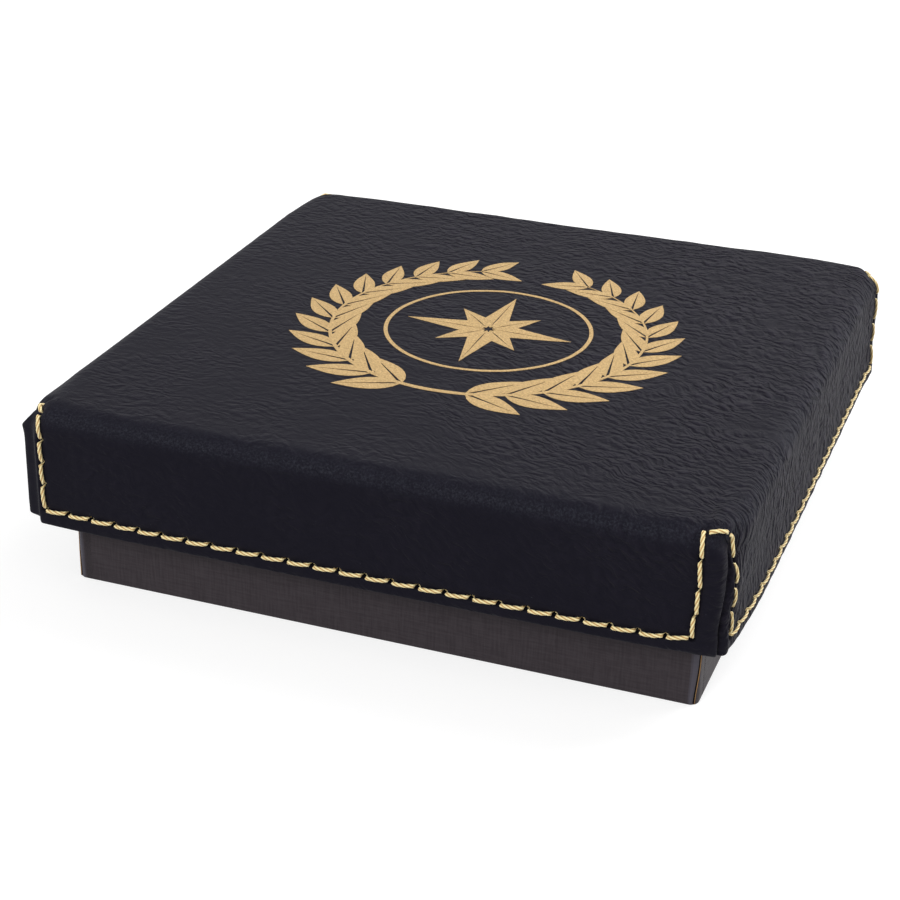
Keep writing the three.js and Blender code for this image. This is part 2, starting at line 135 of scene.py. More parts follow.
class Wire:
    """What a node gives out. A sum or a share of wires puts its node into the same tree."""

    def __init__(self, nodes, socket):
        self.nodes = nodes
        self.socket = socket

    def __getitem__(self, output):
        """Another output of the same node."""
        return Wire(self.nodes, self.socket.node.outputs[output])

    def __add__(self, other):
        return self.nodes.calc("ADD", self, other)

    def __radd__(self, other):
        return self.nodes.calc("ADD", other, self)

    def __sub__(self, other):
        return self.nodes.calc("SUBTRACT", self, other)

    def __rsub__(self, other):
        return self.nodes.calc("SUBTRACT", other, self)

    def __mul__(self, other):
        return self.nodes.calc("MULTIPLY", self, other)

    def __truediv__(self, other):
        return self.nodes.calc("DIVIDE", self, other)

    def smooth(self, low, high, to_low=0.0, to_high=1.0):
        """The value's share between two limits, with smooth ends."""
        sockets = {"Value": self, "From Min": low, "From Max": high, "To Min": to_low, "To Max": to_high}
        return self.nodes.put("ShaderNodeMapRange", sockets, interpolation_type="SMOOTHSTEP")

    def tint(self, low, high):
        """A colour between two, by this share."""
        sockets = {mix_share: self, mix_low: low, mix_high: high}
        return self.nodes.put("ShaderNodeMix", sockets, data_type="RGBA")[mix_result]

    def stretched(self, x, y, z):
        return self.nodes.vector("MULTIPLY", self, (x, y, z))

    def in_mm(self):
        return self.stretched(1000, 1000, 1000)

    def scaled(self, factor):
        return self.nodes.put("ShaderNodeVectorMath", {0: self, "Scale": factor}, operation="SCALE")

    def cloud(self, scale, detail=2.0, roughness=0.5):
        """Noise at this place."""
        noisy = {"Scale": scale, "Detail": detail, "Roughness": roughness}
        return self.nodes.add("ShaderNodeTexNoise", Vector=self, **noisy)["Fac"]

    def cells(self, scale, feature):
        """Distance within random cells at this place."""
        sockets = {"Vector": self, "Scale": scale, "Randomness": 1.0}
        return self.nodes.put("ShaderNodeTexVoronoi", sockets, feature=feature)["Distance"]


class Nodes:
    """A tree of nodes to build. Each call puts in a node and gives the wire of its first output."""

    def __init__(self, tree):
        self.tree = tree

    def feed(self, socket, value):
        if isinstance(value, Wire):
            self.tree.links.new(value.socket, socket)
        else:
            socket.default_value = value

    def put(self, kind, sockets=None, **settings):
        """A new node with its settings, each named or numbered socket fed by a value or by a wire."""
        node = self.tree.nodes.new(kind)
        for name, value in settings.items():
            setattr(node, name, value)
        for key, value in (sockets or {}).items():
            self.feed(node.inputs[key], value)
        return Wire(self, node.outputs[0]) if node.outputs else None

    def calc(self, operation, *values):
        return self.put("ShaderNodeMath", dict(enumerate(values)), operation=operation)

    def vector(self, operation, *values):
        return self.put("ShaderNodeVectorMath", dict(enumerate(values)), operation=operation)

    def add(self, kind, **sockets):
        """A new node by the names of its sockets, with _ for a space."""
        return self.put(kind, {name.replace("_", " "): value for name, value in sockets.items()})

    def attribute(self, name, output="Fac"):
        return self.put("ShaderNodeAttribute", attribute_name=name)[output]

    def place(self):
        """The place on the piece, in millimetres."""
        return self.put("ShaderNodeTexCoord")["Object"].in_mm()


class Finish(Nodes):
    """A material to build, with its shader's constant values."""

    def __init__(self, name, **constants):
        self.material = bpy.data.materials.new(name)
        self.material.use_nodes = True
        super().__init__(self.material.node_tree)
        self.shader = self.tree.nodes["Principled BSDF"]
        self.shade(**constants)

    def shade(self, **values):
        for key, value in values.items():
            self.feed(self.shader.inputs[key.replace("_", " ")], value)

    def done(self, color, height, depth):
        """The material, with its colour and with a height from 0 to 1 as a bump of that depth."""
        bump = self.add("ShaderNodeBump", Height=height, Distance=depth, Strength=1.0)
        self.shade(Base_Color=color, Normal=bump)
        return self.material


def grey(value, alpha=1.0):
    return (value, value, value, alpha)


# Materials
def leatherette():
    """Creases drawn out along the blank, fine pores and dust specks; a painted highlight along the folds,
    painted shade in the needle holes, and grain painted lighter where light falls, at the back-right and on
    the right flap.
    """
    finish = Finish("leatherette", Specular_IOR_Level=0.06, Sheen_Weight=0.02, Sheen_Roughness=0.5)
    blank = finish.attribute("blank", "Vector").in_mm()
    warp = blank.cloud(0.16)["Color"]
    shift = finish.vector("SUBTRACT", warp, (0.5, 0.5, 0.5)).stretched(1.5, 5.0, 0.0)
    place = finish.vector("ADD", blank, shift)

    # On the top the creases turn towards the front as they go to the right
    spot = finish.add("ShaderNodeSeparateXYZ", Vector=blank)
    reach = finish.calc("MINIMUM", finish.calc("MAXIMUM", spot["X"], 0.0), 46.0)
    turn = spot["Y"].smooth(50.0, -30.0, 0.0, 0.36)
    place = finish.vector("ADD", place, finish.add("ShaderNodeCombineXYZ", Y=reach * turn))
    drawn = place.stretched(0.60, 1.0, 1.0)
    bulge = drawn.cells(0.72, "DISTANCE_TO_EDGE").smooth(0.0, 0.33)
    ripple = drawn.cloud(0.95).smooth(0.30, 0.70)
    patches = blank.cloud(0.07).smooth(0.35, 0.65, 0.35, 1.0)
    creases = (bulge * 0.40 + ripple * 0.60) * (patches * finish.attribute("crease_and_light"))
    pores = blank.cloud(5.5, 3.0, 0.6)

    # The colour follows the crease share, so the grain is painted lighter towards the back-right and on the
    # right flap: painted light as well as grain.
    color = (creases * 0.7 + pores * 0.5).tint((0.0026, 0.0026, 0.0062, 1), (0.0136, 0.0116, 0.0196, 1))
    # Painted highlight: a lighter bluish band along the rounded folds of the top, broken up by noise.
    highlight_breakup = finish.place().cloud(3.4, 3.0, 0.8).smooth(0.40, 0.75)
    color = (finish.attribute("round_edge_highlight") * highlight_breakup * 0.7).tint(color, (0.036, 0.039, 0.052, 1))
    specks = finish.place().cloud(2.6, 1.0).smooth(0.76, 0.82)
    color = (specks * 0.5).tint(color, (0.045, 0.048, 0.060, 1))
    # Painted shade: the needle holes are painted near black, as if in shadow.
    color = finish.attribute("hole").tint(color, (0.002, 0.002, 0.003, 1))
    finish.shade(Roughness=0.52 + pores * 0.18)
    return finish.done(color, creases + pores * 0.06, 0.62 * mm)


def golden_thread():
    finish = Finish("golden_thread", Specular_IOR_Level=0.35, Sheen_Weight=0.2, Roughness=0.5)
    fibres = finish.place().cloud(6.0, 2.0, 0.6)
    # Painted shade: the grooves between the plies are painted dark orange, the crests light cream.
    share = finish.attribute("crest") * (0.75 + fibres * 0.5)
    return finish.done(share.tint((0.42, 0.185, 0.022, 1), (1.0, 0.86, 0.46, 1)), fibres, 0.03 * mm)


def engraved_gold():
    finish = Finish("engraved_gold", Specular_IOR_Level=0.4, Metallic=0.25, Roughness=0.55)
    place = finish.place()
    slanted = finish.add("ShaderNodeMapping", Vector=place, Rotation=(0, 0, math.radians(25)))
    fibres = slanted.stretched(1.1, 5.5, 1.0).cloud(1.6, 4.0, 0.7)
    share = (fibres * 0.6 + place.cloud(5.0, 2.0, 0.6) * 0.4).smooth(0.33, 0.67)
    return finish.done(share.tint((0.33, 0.20, 0.068, 1), (0.72, 0.50, 0.225, 1)), share, 0.05 * mm)


def linen_paper():
    """Paper with a linen emboss: fine crossed threads, uneven in depth."""
    finish = Finish("linen_paper", Specular_IOR_Level=0.15, Roughness=0.55)
    sheet = finish.attribute("sheet", "Vector").in_mm()
    along = sheet.stretched(0.25, 3.2, 0.0).cloud(1.0)
    across = sheet.stretched(3.2, 0.25, 0.0).cloud(1.0)
    linen = (along * 0.5 + across * 0.5).smooth(0.3, 0.7)
    color = linen.tint((0.028, 0.022, 0.026, 1), (0.045, 0.037, 0.042, 1))
    # Painted highlight: a lighter bluish strip round each rounded corner of the wall.
    color = (finish.attribute("round_edge_highlight") * 0.6).tint(color, (0.098, 0.093, 0.118, 1))
    color = finish.attribute("cut_edge").tint(color, (0.36, 0.20, 0.075, 1))
    # Painted shadow: the narrow gap beside each side panel's cut edge is painted near black.
    color = finish.attribute("gap").tint(color, (0.004, 0.003, 0.004, 1))
    return finish.done(color, linen, 0.045 * mm)


def velour():
    finish = Finish("velour", Specular_IOR_Level=0.1, Sheen_Weight=0.6, Sheen_Roughness=0.4, Roughness=0.95)
    finish.shade(Sheen_Tint=(0.5, 0.5, 0.55, 1))
    pile = finish.place().cloud(4.0, 3.0, 0.7)
    nap = finish.place().cloud(0.12, 3.0, 0.55)
    color = (pile * 0.6 + nap * 0.4).smooth(0.3, 0.7).tint(grey(0.004), (0.017, 0.017, 0.019, 1))
    return finish.done(color, pile, 0.12 * mm)


def greyboard():
    finish = Finish("greyboard", Specular_IOR_Level=0.25, Roughness=0.9)
    pulp = finish.place().cloud(0.9, 4.0, 0.65)
    flecks = finish.place().cloud(3.5, 2.0, 0.6).smooth(0.6, 0.72)
    color = pulp.smooth(0.3, 0.7).tint((0.20, 0.185, 0.16, 1), (0.30, 0.28, 0.245, 1))
    color = (flecks * 0.5).tint(color, (0.10, 0.09, 0.08, 1))
    return finish.done(color, pulp, 0.06 * mm)


def gummed_tape():
    finish = Finish("gummed_tape", Specular_IOR_Level=0.35, Roughness=0.6)
    ribs = finish.place().stretched(0.6, 0.6, 5.0).cloud(1.0, 2.0, 0.6)
    share = ribs * 0.5 + finish.place().cloud(1.5, 3.0, 0.6) * 0.5
    color = share.smooth(0.3, 0.7).tint((0.36, 0.25, 0.135, 1), (0.52, 0.38, 0.22, 1))
    return finish.done(color, share, 0.03 * mm)


def black_paper():
    finish = Finish("black_paper", Specular_IOR_Level=0.35, Roughness=0.75)
    pulp = finish.place().cloud(2.2, 4.0, 0.65)
    color = pulp.smooth(0.3, 0.7).tint((0.009, 0.0085, 0.010, 1), (0.019, 0.018, 0.020, 1))
    return finish.done(color, pulp, 0.03 * mm)


def black_foam():
    finish = Finish("black_foam", Specular_IOR_Level=0.15, Roughness=1.0)
    pores = finish.place().cells(2.2, "SMOOTH_F1").smooth(0.1, 0.5)
    return finish.done(pores.tint(grey(0.010), grey(0.032)), pores, 0.2 * mm)


# Meshes
def add_layer(mesh, name, values):
    """A named attribute, one value or vector per point."""
    values = np.asarray(values, float)
    kind, field = ("FLOAT_VECTOR", "vector") if values.ndim == 2 else ("FLOAT", "value")
    mesh.attributes.new(name, kind, "POINT").data.foreach_set(field, values.ravel())


def make_piece(name, points, faces, material, layers=None):
    """A smooth-shaded mesh object with its named attributes."""
    mesh = bpy.data.meshes.new(name)
    mesh.from_pydata([tuple(p) for p in points], [], [tuple(f) for f in faces])
    for key, values in (layers or {}).items():
        add_layer(mesh, key, values)
    merge_doubles(mesh)
    mesh.shade_smooth()
    mesh.materials.append(material)
    return add_object(name, mesh)


def merge_doubles(mesh):
    work = bmesh.new()
    work.from_mesh(mesh)
    bmesh.ops.remove_doubles(work, verts=work.verts, dist=1e-7)
    bmesh.ops.dissolve_degenerate(work, edges=work.edges, dist=1e-8)
    work.to_mesh(mesh)
    work.free()


def band_faces(rows, columns, first=0):
    """Quads between the rings of a grid of points whose columns close on themselves."""
    row = np.arange(rows - 1)[:, None] * columns
    column = np.arange(columns)[None, :]
    beside = (column + 1) % columns
    quads = np.stack([row + column, row + beside, row + columns + beside, row + columns + column], -1)
    return (quads.reshape(-1, 4) + first).tolist()


def fan_faces(centre, ring, outward=True):
    faces = []
    for i, point in enumerate(ring):
        beside = ring[(i + 1) % len(ring)]
        faces.append((centre, point, beside) if outward else (centre, beside, point))
    return faces


def zip_faces(outer, outer_at, inner, inner_at):
    """Triangles between two lines of points with different spacing, each with its places along the side."""
    faces = []
    i = 0
    j = 0
    while i < len(outer) - 1 or j < len(inner) - 1:
        step_outer = j == len(inner) - 1 or (i < len(outer) - 1 and outer_at[i + 1] <= inner_at[j + 1])
        if step_outer:
            faces.append((outer[i], outer[i + 1], inner[j]))
            i += 1
        else:
            faces.append((outer[i], inner[j + 1], inner[j]))
            j += 1
    return faces


def smoothstep(x):
    x = np.clip(x, 0, 1)
    return x * x * (3 - 2 * x)


def ramp(value, start, length):
    """0 before a start and 1 from a length on, smooth between. It falls where the length is below 0."""
    return smoothstep((value - start) / length)


def hill(value, middle, reach, power=2):
    """1 at a middle, fading to both sides."""
    return np.exp(-(((value - middle) / reach) ** power))


def turn_quarters(points, quarters):
    c = [1, 0, -1, 0][quarters % 4]
    s = [0, 1, 0, -1][quarters % 4]
    x = c * points[..., 0] - s * points[..., 1]
    y = s * points[..., 0] + c * points[..., 1]
    return np.stack([x, y, points[..., 2]], -1)


def four_turns(points):
    return np.concatenate([turn_quarters(points, q) for q in range(4)])


# Cover: columns run along a flap, given by how far they lie from the sharp corner, and then round the lip
# at its end. Columns and rows are closer together at the needle holes.
hole_reach = 0.45 * mm
hole_core = 0.15 * mm
fine_cell = 0.22 * mm
fine_reach = 1.1 * mm
middle_cell = 0.35 * mm
fine_row = 0.2 * mm
fine_row_reach = 1.0 * mm
lip_steps = 12
fold_steps = 12
roll_steps = 4
rise_steps = 6
top_cell = 0.5 * mm
top_margin = 0.7 * mm
row_cell = 0.3 * mm


def flap_columns(margin):
    """Distances from a flap's middle down to its lip, for the half whose last hole is a margin away."""
    places = list(np.arange(lip_along, margin + fine_reach, fine_cell))
    hole = margin + side_pitch
    while hole < lid_half:
        places += [places[-1] + step for step in np.linspace(0, hole - hole_reach - places[-1], 4)[1:-1]]
        places += [hole - hole_reach, hole - hole_core, hole + hole_core, hole + hole_reach]
        hole += side_pitch
    return np.array(places + [lid_half - middle_cell])[::-1]


right_columns = flap_columns(right_margin)
left_columns = flap_columns(left_margin)


def drawn_in(along):
    share = np.clip(1 - along / pull_length, 0, 1)
    return pull_in * share * share


def flap_half(flats, inset):
    """Half a corner's outline on the flap, from the flap's middle to the groove: along and inward places."""
    inward = drawn_in(lip_along) + lip_radius
    radius = lip_radius - inset
    span = lip_along - inward
    groove = (lip_along + inward - math.sqrt(max(0, 2 * radius**2 - span**2))) / 2
    end = math.atan2(groove - inward, groove - lip_along)
    sweep = (end - 2 * math.pi if end > 0 else end) + quarter
    angles = -quarter + sweep * np.arange(1, lip_steps + 1) / lip_steps
    along = np.concatenate([flats, lip_along + radius * np.cos(angles)])
    inwards = np.concatenate([drawn_in(flats) + inset, inward + radius * np.sin(angles)])
    along[-1] = groove
    inwards[-1] = groove
    return along, inwards


eighth_angles = -quarter - quarter / 2 * np.arange(1, lip_steps + 1) / lip_steps


def spread_flats(flats, start):
    """Flap columns moved apart so that the last one lies at a start, with their shares of the way."""
    share = np.clip((flats - lip_along) / (pull_length - lip_along), 0, 1)
    return np.where(flats < pull_length, start + share * (pull_length - start), flats), share


def blend(a, b, share):
    return a + (b - a) * share


def top_half(flats, fold):
    """The same half outline on the rounded top, at an angle up its fold, with its radius."""
    along, share = spread_flats(flats, corner_radius)
    radius = corner_radius + (fold_radius - corner_radius) * share
    flat_radius = corner_radius * math.cos(fold)
    along = np.concatenate([along, corner_radius + flat_radius * np.cos(eighth_angles)])
    corner_inward = corner_radius + flat_radius * np.sin(eighth_angles)
    inward = np.concatenate([radius * (1 - math.cos(fold)), corner_inward])
    return along, inward, np.concatenate([radius, np.full(lip_steps, corner_radius)])


def inner_half(flats):
    """The half outline on the inside of the flaps."""
    start = lid_half - cover_inner + inner_corner
    along = np.concatenate([spread_flats(flats, start)[0], start + inner_corner * np.cos(eighth_angles)])
    straight = np.full(len(flats), lid_half - cover_inner)
    return along, np.concatenate([straight, start + inner_corner * np.sin(eighth_angles)])


def ring_of(outline):
    """A whole ring from an outline of (along, inward, z): a flap's right end, the next's left, and turns."""
    along, inward, z = outline(right_columns)
    end = np.stack([lid_half - along, inward - lid_half, z], -1)
    along, inward, z = outline(left_columns)
    start = np.stack([lid_half - inward, along - lid_half, z], -1)[:-1][::-1]
    return four_turns(np.concatenate([end, start]))


def level(height, flats):
    """One height for each point of a half outline."""
    return np.full(len(flats) + lip_steps, height)


def unfolded(down):
    """Where each point of a ring lies on the flat blank, down its flap by a distance."""
    def outline(flats):
        return flap_half(flats, 0)[0], level(fold_radius - down, flats), level(0.0, flats)
    return ring_of(outline)


def flap_rows():
    """Heights up the flap from the rolled edge to where the corner begins to close."""
    fine_low = row_height - fine_row_reach
    fine_high = row_height + fine_row_reach
    rows = list(np.linspace(flap_bottom + roll_up, fine_low, 3))[1:]
    rows += list(np.arange(fine_low + fine_row, fine_high + fine_row / 4, fine_row))
    return rows + list(np.linspace(rows[-1], rise_start, round((rise_start - rows[-1]) / row_cell)))[1:]


def flap_ring(inset, height):
    def outline(flats):
        return *flap_half(flats, inset), level(height, flats)
    return ring_of(outline)


def closing_ring(fold, share, rounding):
    """A ring between the lips of the flaps and the round corner of the top."""
    def outline(flats):
        along, inward = flap_half(flats, 0)
        top_along, top_inward, radius = top_half(flats, fold)
        top = lid_top - radius * (1 - math.sin(fold))
        height = blend(rise_start, top, share)
        return blend(along, top_along, rounding), blend(inward, top_inward, rounding), height
    return ring_of(outline)


def inside_ring(share, height):
    """A ring from under the hem to the inside of the flaps."""
    def outline(flats):
        along, inward = flap_half(flats, roll_in)
        inner_along, inner_inward = inner_half(flats)
        return blend(along, inner_along, share), blend(inward, inner_inward, share), level(height, flats)
    return ring_of(outline)


def cover_rings():
    """All rings of the cover's outer skin, from its bottom edge to the rim of the flat top."""
    rings = []
    for angle in np.linspace(quarter, 0, roll_steps + 1):
        height = flap_bottom + roll_up * (1 - math.sin(angle))
        rings.append(flap_ring(roll_in * (1 - math.cos(angle)), height))
    rings += [flap_ring(0, height) for height in flap_rows()]
    for step in range(1, rise_steps + 1):
        share = step / rise_steps
        rings.append(closing_ring(0, share, smoothstep(0.5 * share)))
    for step in range(1, fold_steps + 1):
        rounding = smoothstep(0.5 + 0.5 * min(1, 3 * step / fold_steps))
        rings.append(closing_ring(quarter * step / fold_steps, 1.0, rounding))
    blanks = []
    for number, made in enumerate(rings):
        turn = number - (len(rings) - 1 - fold_steps)
        if turn > 0:
            down = fold_radius * quarter * (1 - turn / fold_steps)
        else:
            down = fold_radius * quarter + (lid_top - fold_radius - made[0, 2])
        blanks.append(unfolded(down))
    return np.array(rings), np.array(blanks)


def side_lines(columns):
    """Column numbers of each side's line, from one corner's diagonal to the next."""
    per_corner = columns // 4
    groove = len(right_columns) + lip_steps - 1
    starts = [(side - 1) * per_corner + groove for side in range(4)]
    return [[(start + k) % columns for k in range(per_corner + 1)] for start in starts]


def cover_skin():
    """Points, faces and blank places of the whole closed cover, with how many points are outside."""
    rings, blanks = cover_rings()
    rows, columns = rings.shape[:2]
    points = [rings.reshape(-1, 3)]
    blank = [blanks.reshape(-1, 3)]
    faces = band_faces(rows, columns)
    last = (rows - 1) * columns
    first = rows * columns

    # The flat top: a square grid, zipped to the last ring
    edge = lid_half - corner_radius - top_margin
    cells = round(2 * edge / top_cell)
    line = np.linspace(-edge, edge, cells + 1)
    grid_x, grid_y = np.meshgrid(line, line)
    grid = np.stack([grid_x, grid_y, np.full_like(grid_x, lid_top)], -1).reshape(-1, 3)
    side = cells + 1
    i, j = np.meshgrid(np.arange(cells), np.arange(cells))
    corner = first + j * side + i
    faces += np.stack([corner, corner + 1, corner + side + 1, corner + side], -1).reshape(-1, 4).tolist()
    edges = [
        [first + k for k in range(side)],
        [first + k * side + cells for k in range(side)],
        [first + cells * side + cells - k for k in range(side)],
        [first + (cells - k) * side for k in range(side)],
    ]
    for number, columns_of_side in enumerate(side_lines(columns)):
        outer = [last + c for c in columns_of_side]
        rim = turn_quarters(rings[-1][columns_of_side], -number)
        faces += zip_faces(outer, list(rim[:, 0]), edges[number], list(line))
    points.append(grid)
    blank.append(grid * (1, 1, 0))
    outside = first + len(grid)

    # The underside of the folded hems, the inside of the flaps and the ceiling
    steps = ((0.5, 0.0), (0.93, 0.0), (1.0, 0.25 * mm), (1.0, 1.2 * mm))
    inside = [inside_ring(share, flap_bottom + height) for share, height in steps]
    inside = np.array(inside + [inside_ring(1.0, cover_ceiling)])
    points.append(inside.reshape(-1, 3))
    blank.append(inside.reshape(-1, 3) * (1, 1, 0))
    faces += [tuple(reversed(face)) for face in band_faces(len(inside), columns, outside)]
    joint = np.arange(columns)
    beside = (joint + 1) % columns
    faces += np.stack([beside, joint, outside + joint, outside + beside], -1).tolist()
    middle = outside + inside.shape[0] * columns
    points.append(np.array([[0, 0, cover_ceiling]]))
    blank.append(np.zeros((1, 3)))
    faces += fan_faces(middle, [middle - columns + c for c in range(columns)], False)
    return np.concatenate(points), faces, np.concatenate(blank), outside


def sat(points):
    """The cover's points as they sit on the real box: folded by hand, and drawn a little to its front left.

    Everything in here is in millimetres.
    """
    x, y, z = np.asarray(points).T / mm
    low = np.interp(z, (12, 25.5, 27.0, 28.2), (1.0, 0.87, 0.5, 0.0))
    front = -50.8
    near_front = hill(y, front, 14) * low
    dx = -near_front * (0.1 + np.interp(x, (-50, -40, -28, 30), (0.35, 0.9, 1.2, 0.0)))
    dx -= 1.45 * hill(y, front, 9) * low * ramp(y - x, -1.0, 2.5) * ramp(x, -40, -8)
    dx -= 0.35 * ramp(x, -40, -10)
    dy = 0.9 * ramp(x, -48.2, -1.5) * hill(y, front, 4) * low

    # The right flap stands off a little at its bottom, and the back-right corner is fuller
    stand_off = ramp(x, 46, 4) * ramp(z, 17, -6) * ramp(y, front + 0.3, 1.0)
    dx += 0.35 * stand_off + 0.6 * ramp(y, 40, 10) * ramp(x, 42, 8)
    dz = 0.3 * ramp(x, -24, -22) * near_front * ramp(z, 10.6, 1.5)
    dz -= stand_off * (0.25 + 0.35 * hill(y, front, 4))
    dz += 0.25 * np.clip(x / 45, 0, 1) * near_front * ramp(z, 12.2, -1.5)
    dz += 0.35 * ramp(x, -10, 60) * ramp(y, 20, 30) * ramp(z, 20, 8)

    # The row's last stitch climbs, and the run above it leans
    row_right = ramp(x, 41, 5) * near_front
    dz += 0.42 * row_right * hill(z, 12.4, 1.6)
    dx -= 0.5 * row_right * ramp(z, 20, -7)

    # At the front right the front flap's end wraps round, so the groove lies on the right, and deep
    out, back = x - 48.4, y + 48.4
    at_corner = hill(np.hypot(out, back), 0, 2.4, 4) * ramp(z, 27.8, -2.0)
    turn = np.radians(np.interp(z, (12, 26), (16, 27))) * at_corner
    deep = 0.35 * at_corner * hill(x, -y, 0.55)
    dx += out * (np.cos(turn) - 1) - back * np.sin(turn) - deep
    dy += out * np.sin(turn) + back * (np.cos(turn) - 1) + 0.5 * deep

    # The groove leans back towards its top
    at_groove = hill(y, -49.9, 1.3) * ramp(x, 48.6, 1.0)
    dy += 0.9 * at_groove * ramp(z, 14, 9) * ramp(z, 27.6, -1.6)

    # The stitches over a corner pull it in, least at the front left, where the flap's end stands out below
    from_arch = np.sqrt((np.abs(x) - 49.2) ** 2 + (np.abs(y) - 49.2) ** 2 + (z - 27.0) ** 2)
    pinch = hill(from_arch, 0, 2.3) * np.where((x < 0) & (y < 0), 0.4, 0.8)
    dx -= pinch * np.sign(x)
    dy -= pinch * np.sign(y)
    dz -= 0.4 * pinch

    # The leather is drawn to the left under the last stitches at both ends of the front flap
    dx -= 0.45 * hill(y, -48.6, 1.5) * hill(z, 24.7, 1.5) * ramp(x, -48.4, -1.5)
    dx -= 1.1 * hill(x, 50.4, 2.6) * hill(y, -47.0, 2.6) * hill(z, 25.6, 2.6) * ramp(x, 48.6, 1.5)
    dx -= 0.5 * hill(x, -47.0, 1.8) * hill(y, -50.0, 1.8) * hill(z, 27.4, 1.8)
    x, y, z = x + dx, y + dy, z + dz

    # At the front left it is creased flat, to a slope of 47 degrees that is deepest under the thread
    slope_x, slope_z, slope_start = 0.73, 0.683, 55.1
    depth = 0.8 * hill(y, -46.3, 1.3)
    over = np.maximum(slope_z * z - slope_x * x - slope_start + depth, 0) * ramp(y, -44.0, -2.0)
    return np.stack([x + slope_x * over, y, z - slope_z * over], -1) * mm


# The stitch line, found on the skin as the solid's is: along each flap, then up, over its corner and down
steps_per_stitch = 30
even_steps = np.arange(steps_per_stitch) / steps_per_stitch
stitch_phase = even_steps - 0.5 * np.sin(2 * np.pi * even_steps) / (2 * np.pi)
full_bridge = 0.1 * mm
row_holes = np.linspace(0, 1, side_stitches + 1)
run_holes = (0, 0.114, 0.226, 0.352, 0.470, 0.555, 0.684, 0.786, 0.886, 1)

# The run over a corner, seen from a point inside it: how far round it is, and how far up, in degrees
arch_share = (0.0, 0.36, 0.69, 1.0)
arch_azimuth = (-90, -87, -30, 0)
arch_lift = (0, 50, 36, 0)
groove_reach = math.radians(17)
leg_points = 32
arch_points = 29


def face_of(tree, start, direction):
    return tree.ray_cast(Vector(start), Vector(direction).normalized())[0]


def bottom_row(tree):
    front = Vector((0, -1, 0))
    places = np.linspace(left_margin - lid_half, lid_half - right_margin, 4 * side_stitches + 1)
    return [(face_of(tree, (x, 0, row_height), front), front) for x in places]


def corner_run(tree):
    """The line up the front flap's end, over the front-right corner and down the right flap's end."""
    axis = Vector((lid_half - right_margin, left_margin - lid_half, 0))
    legs = np.linspace(row_height, arch_height, leg_points)[:-1]
    up = [face_of(tree, axis + Vector((0, 0, z)), (0, -1, 0)) for z in legs]
    down = [face_of(tree, axis + Vector((0, 0, z)), (1, 0, 0)) for z in legs][::-1]
    arch = []
    share = np.linspace(0, 1, arch_points)
    azimuths = np.radians(np.maximum(np.polyval(np.polyfit(arch_share, arch_azimuth, 3), share), -90))
    lifts = np.radians(np.polyval(np.polyfit(arch_share, arch_lift, 3), share))
    for azimuth, lift in zip(azimuths, lifts):
        # The thread spans the groove between the two flaps
        if abs(azimuth + quarter / 2) < groove_reach:
            continue
        direction = (math.cos(azimuth) * math.cos(lift), math.sin(azimuth) * math.cos(lift), math.sin(lift))
        arch.append(face_of(tree, axis + Vector((0, 0, arch_height)), direction))
    line = []
    for point in up + arch + down:
        centre = axis + Vector((0, 0, min(point.z, lid_top - corner_radius)))
        line.append((point, (point - centre).normalized()))
    return line


def even_places(line, holes):
    """A line of (point, normal) cut into stitches between its holes, given as shares of its length."""
    points = np.array([tuple(p) for p, n in line])
    normals = np.array([tuple(n) for p, n in line])
    reach = np.concatenate([[0], np.cumsum(np.linalg.norm(np.diff(points, axis=0), axis=1))])
    places = (np.arange(len(holes) - 1)[:, None] + stitch_phase).ravel()
    places = np.append(places, len(holes) - 1)
    wanted = reach[-1] * np.interp(places, np.arange(len(holes)), holes)
    spots = np.stack([np.interp(wanted, reach, points[:, k]) for k in range(3)], -1)
    out = np.stack([np.interp(wanted, reach, normals[:, k]) for k in range(3)], -1)
    out /= np.linalg.norm(out, axis=1)[:, None]

    # The thread bridges the hollows between its holes
    ends = spots[::steps_per_stitch]
    share = np.append(np.tile(stitch_phase, len(ends) - 1), 0)[:, None]
    number = np.minimum(np.arange(len(spots)) // steps_per_stitch, len(ends) - 1)
    after = np.minimum(number + 1, len(ends) - 1)
    bridge = ends[number] * (1 - share) + ends[after] * share - spots
    above = (bridge * out).sum(1)
    return spots + bridge * smoothstep(above / full_bridge)[:, None], out


def stitch_line(tree):
    """The whole stitch line, once round the blank: points, outward normals and the phase within a stitch."""
    row = even_places(bottom_row(tree), row_holes)
    run = even_places(corner_run(tree), run_holes)
    points, normals = [four_turns(np.concatenate([row[k][:-1], run[k][:-1]])) for k in range(2)]
    return points, normals, np.tile(stitch_phase, len(points) // steps_per_stitch)


# Relief of the leather
press_depth = 0.22 * mm
press_reach = 0.42 * mm
hole_depth = 0.75 * mm
hole_radius = 0.40 * mm
swell = 0.07 * mm
swell_reach = 1.3 * mm
swell_width = 0.7 * mm
crease_depth = 0.08 * mm
thinnest_leather = 0.35 * mm
board_half = stay_high.x
board_corner = 1.75 * mm
board_middle = (cover_ceiling + stay_low.z) / 2
board_rise = (cover_ceiling - stay_low.z) / 2


def nearest(points, targets, reach):
    """For each point the distance to the nearest target and its number, where closer than reach."""
    tree = KDTree(len(targets))
    for number, target in enumerate(targets):
        tree.insert(target, number)
    tree.balance()
    distance = np.full(len(points), 1.0)
    number = np.zeros(len(points), int)
    for k, point in enumerate(points):
        found = tree.find(point)
        if found[2] < reach:
            distance[k] = found[2]
            number[k] = found[1]
    return distance, number


def crease_height(blank):
    """Slow waves of the leather, drawn out along the blank's length."""
    heights = np.zeros(len(blank))
    for k, (u, v) in enumerate(blank[:, :2] * 1000):
        bend = 3.0 * noise.noise((u * 0.09, v * 0.09, 4.0))
        heights[k] = noise.noise((u * 0.16, (v + bend) * 0.42, 0.0))
        heights[k] += 0.5 * noise.noise((u * 0.35, (v + bend) * 0.9, 7.0))
    return heights


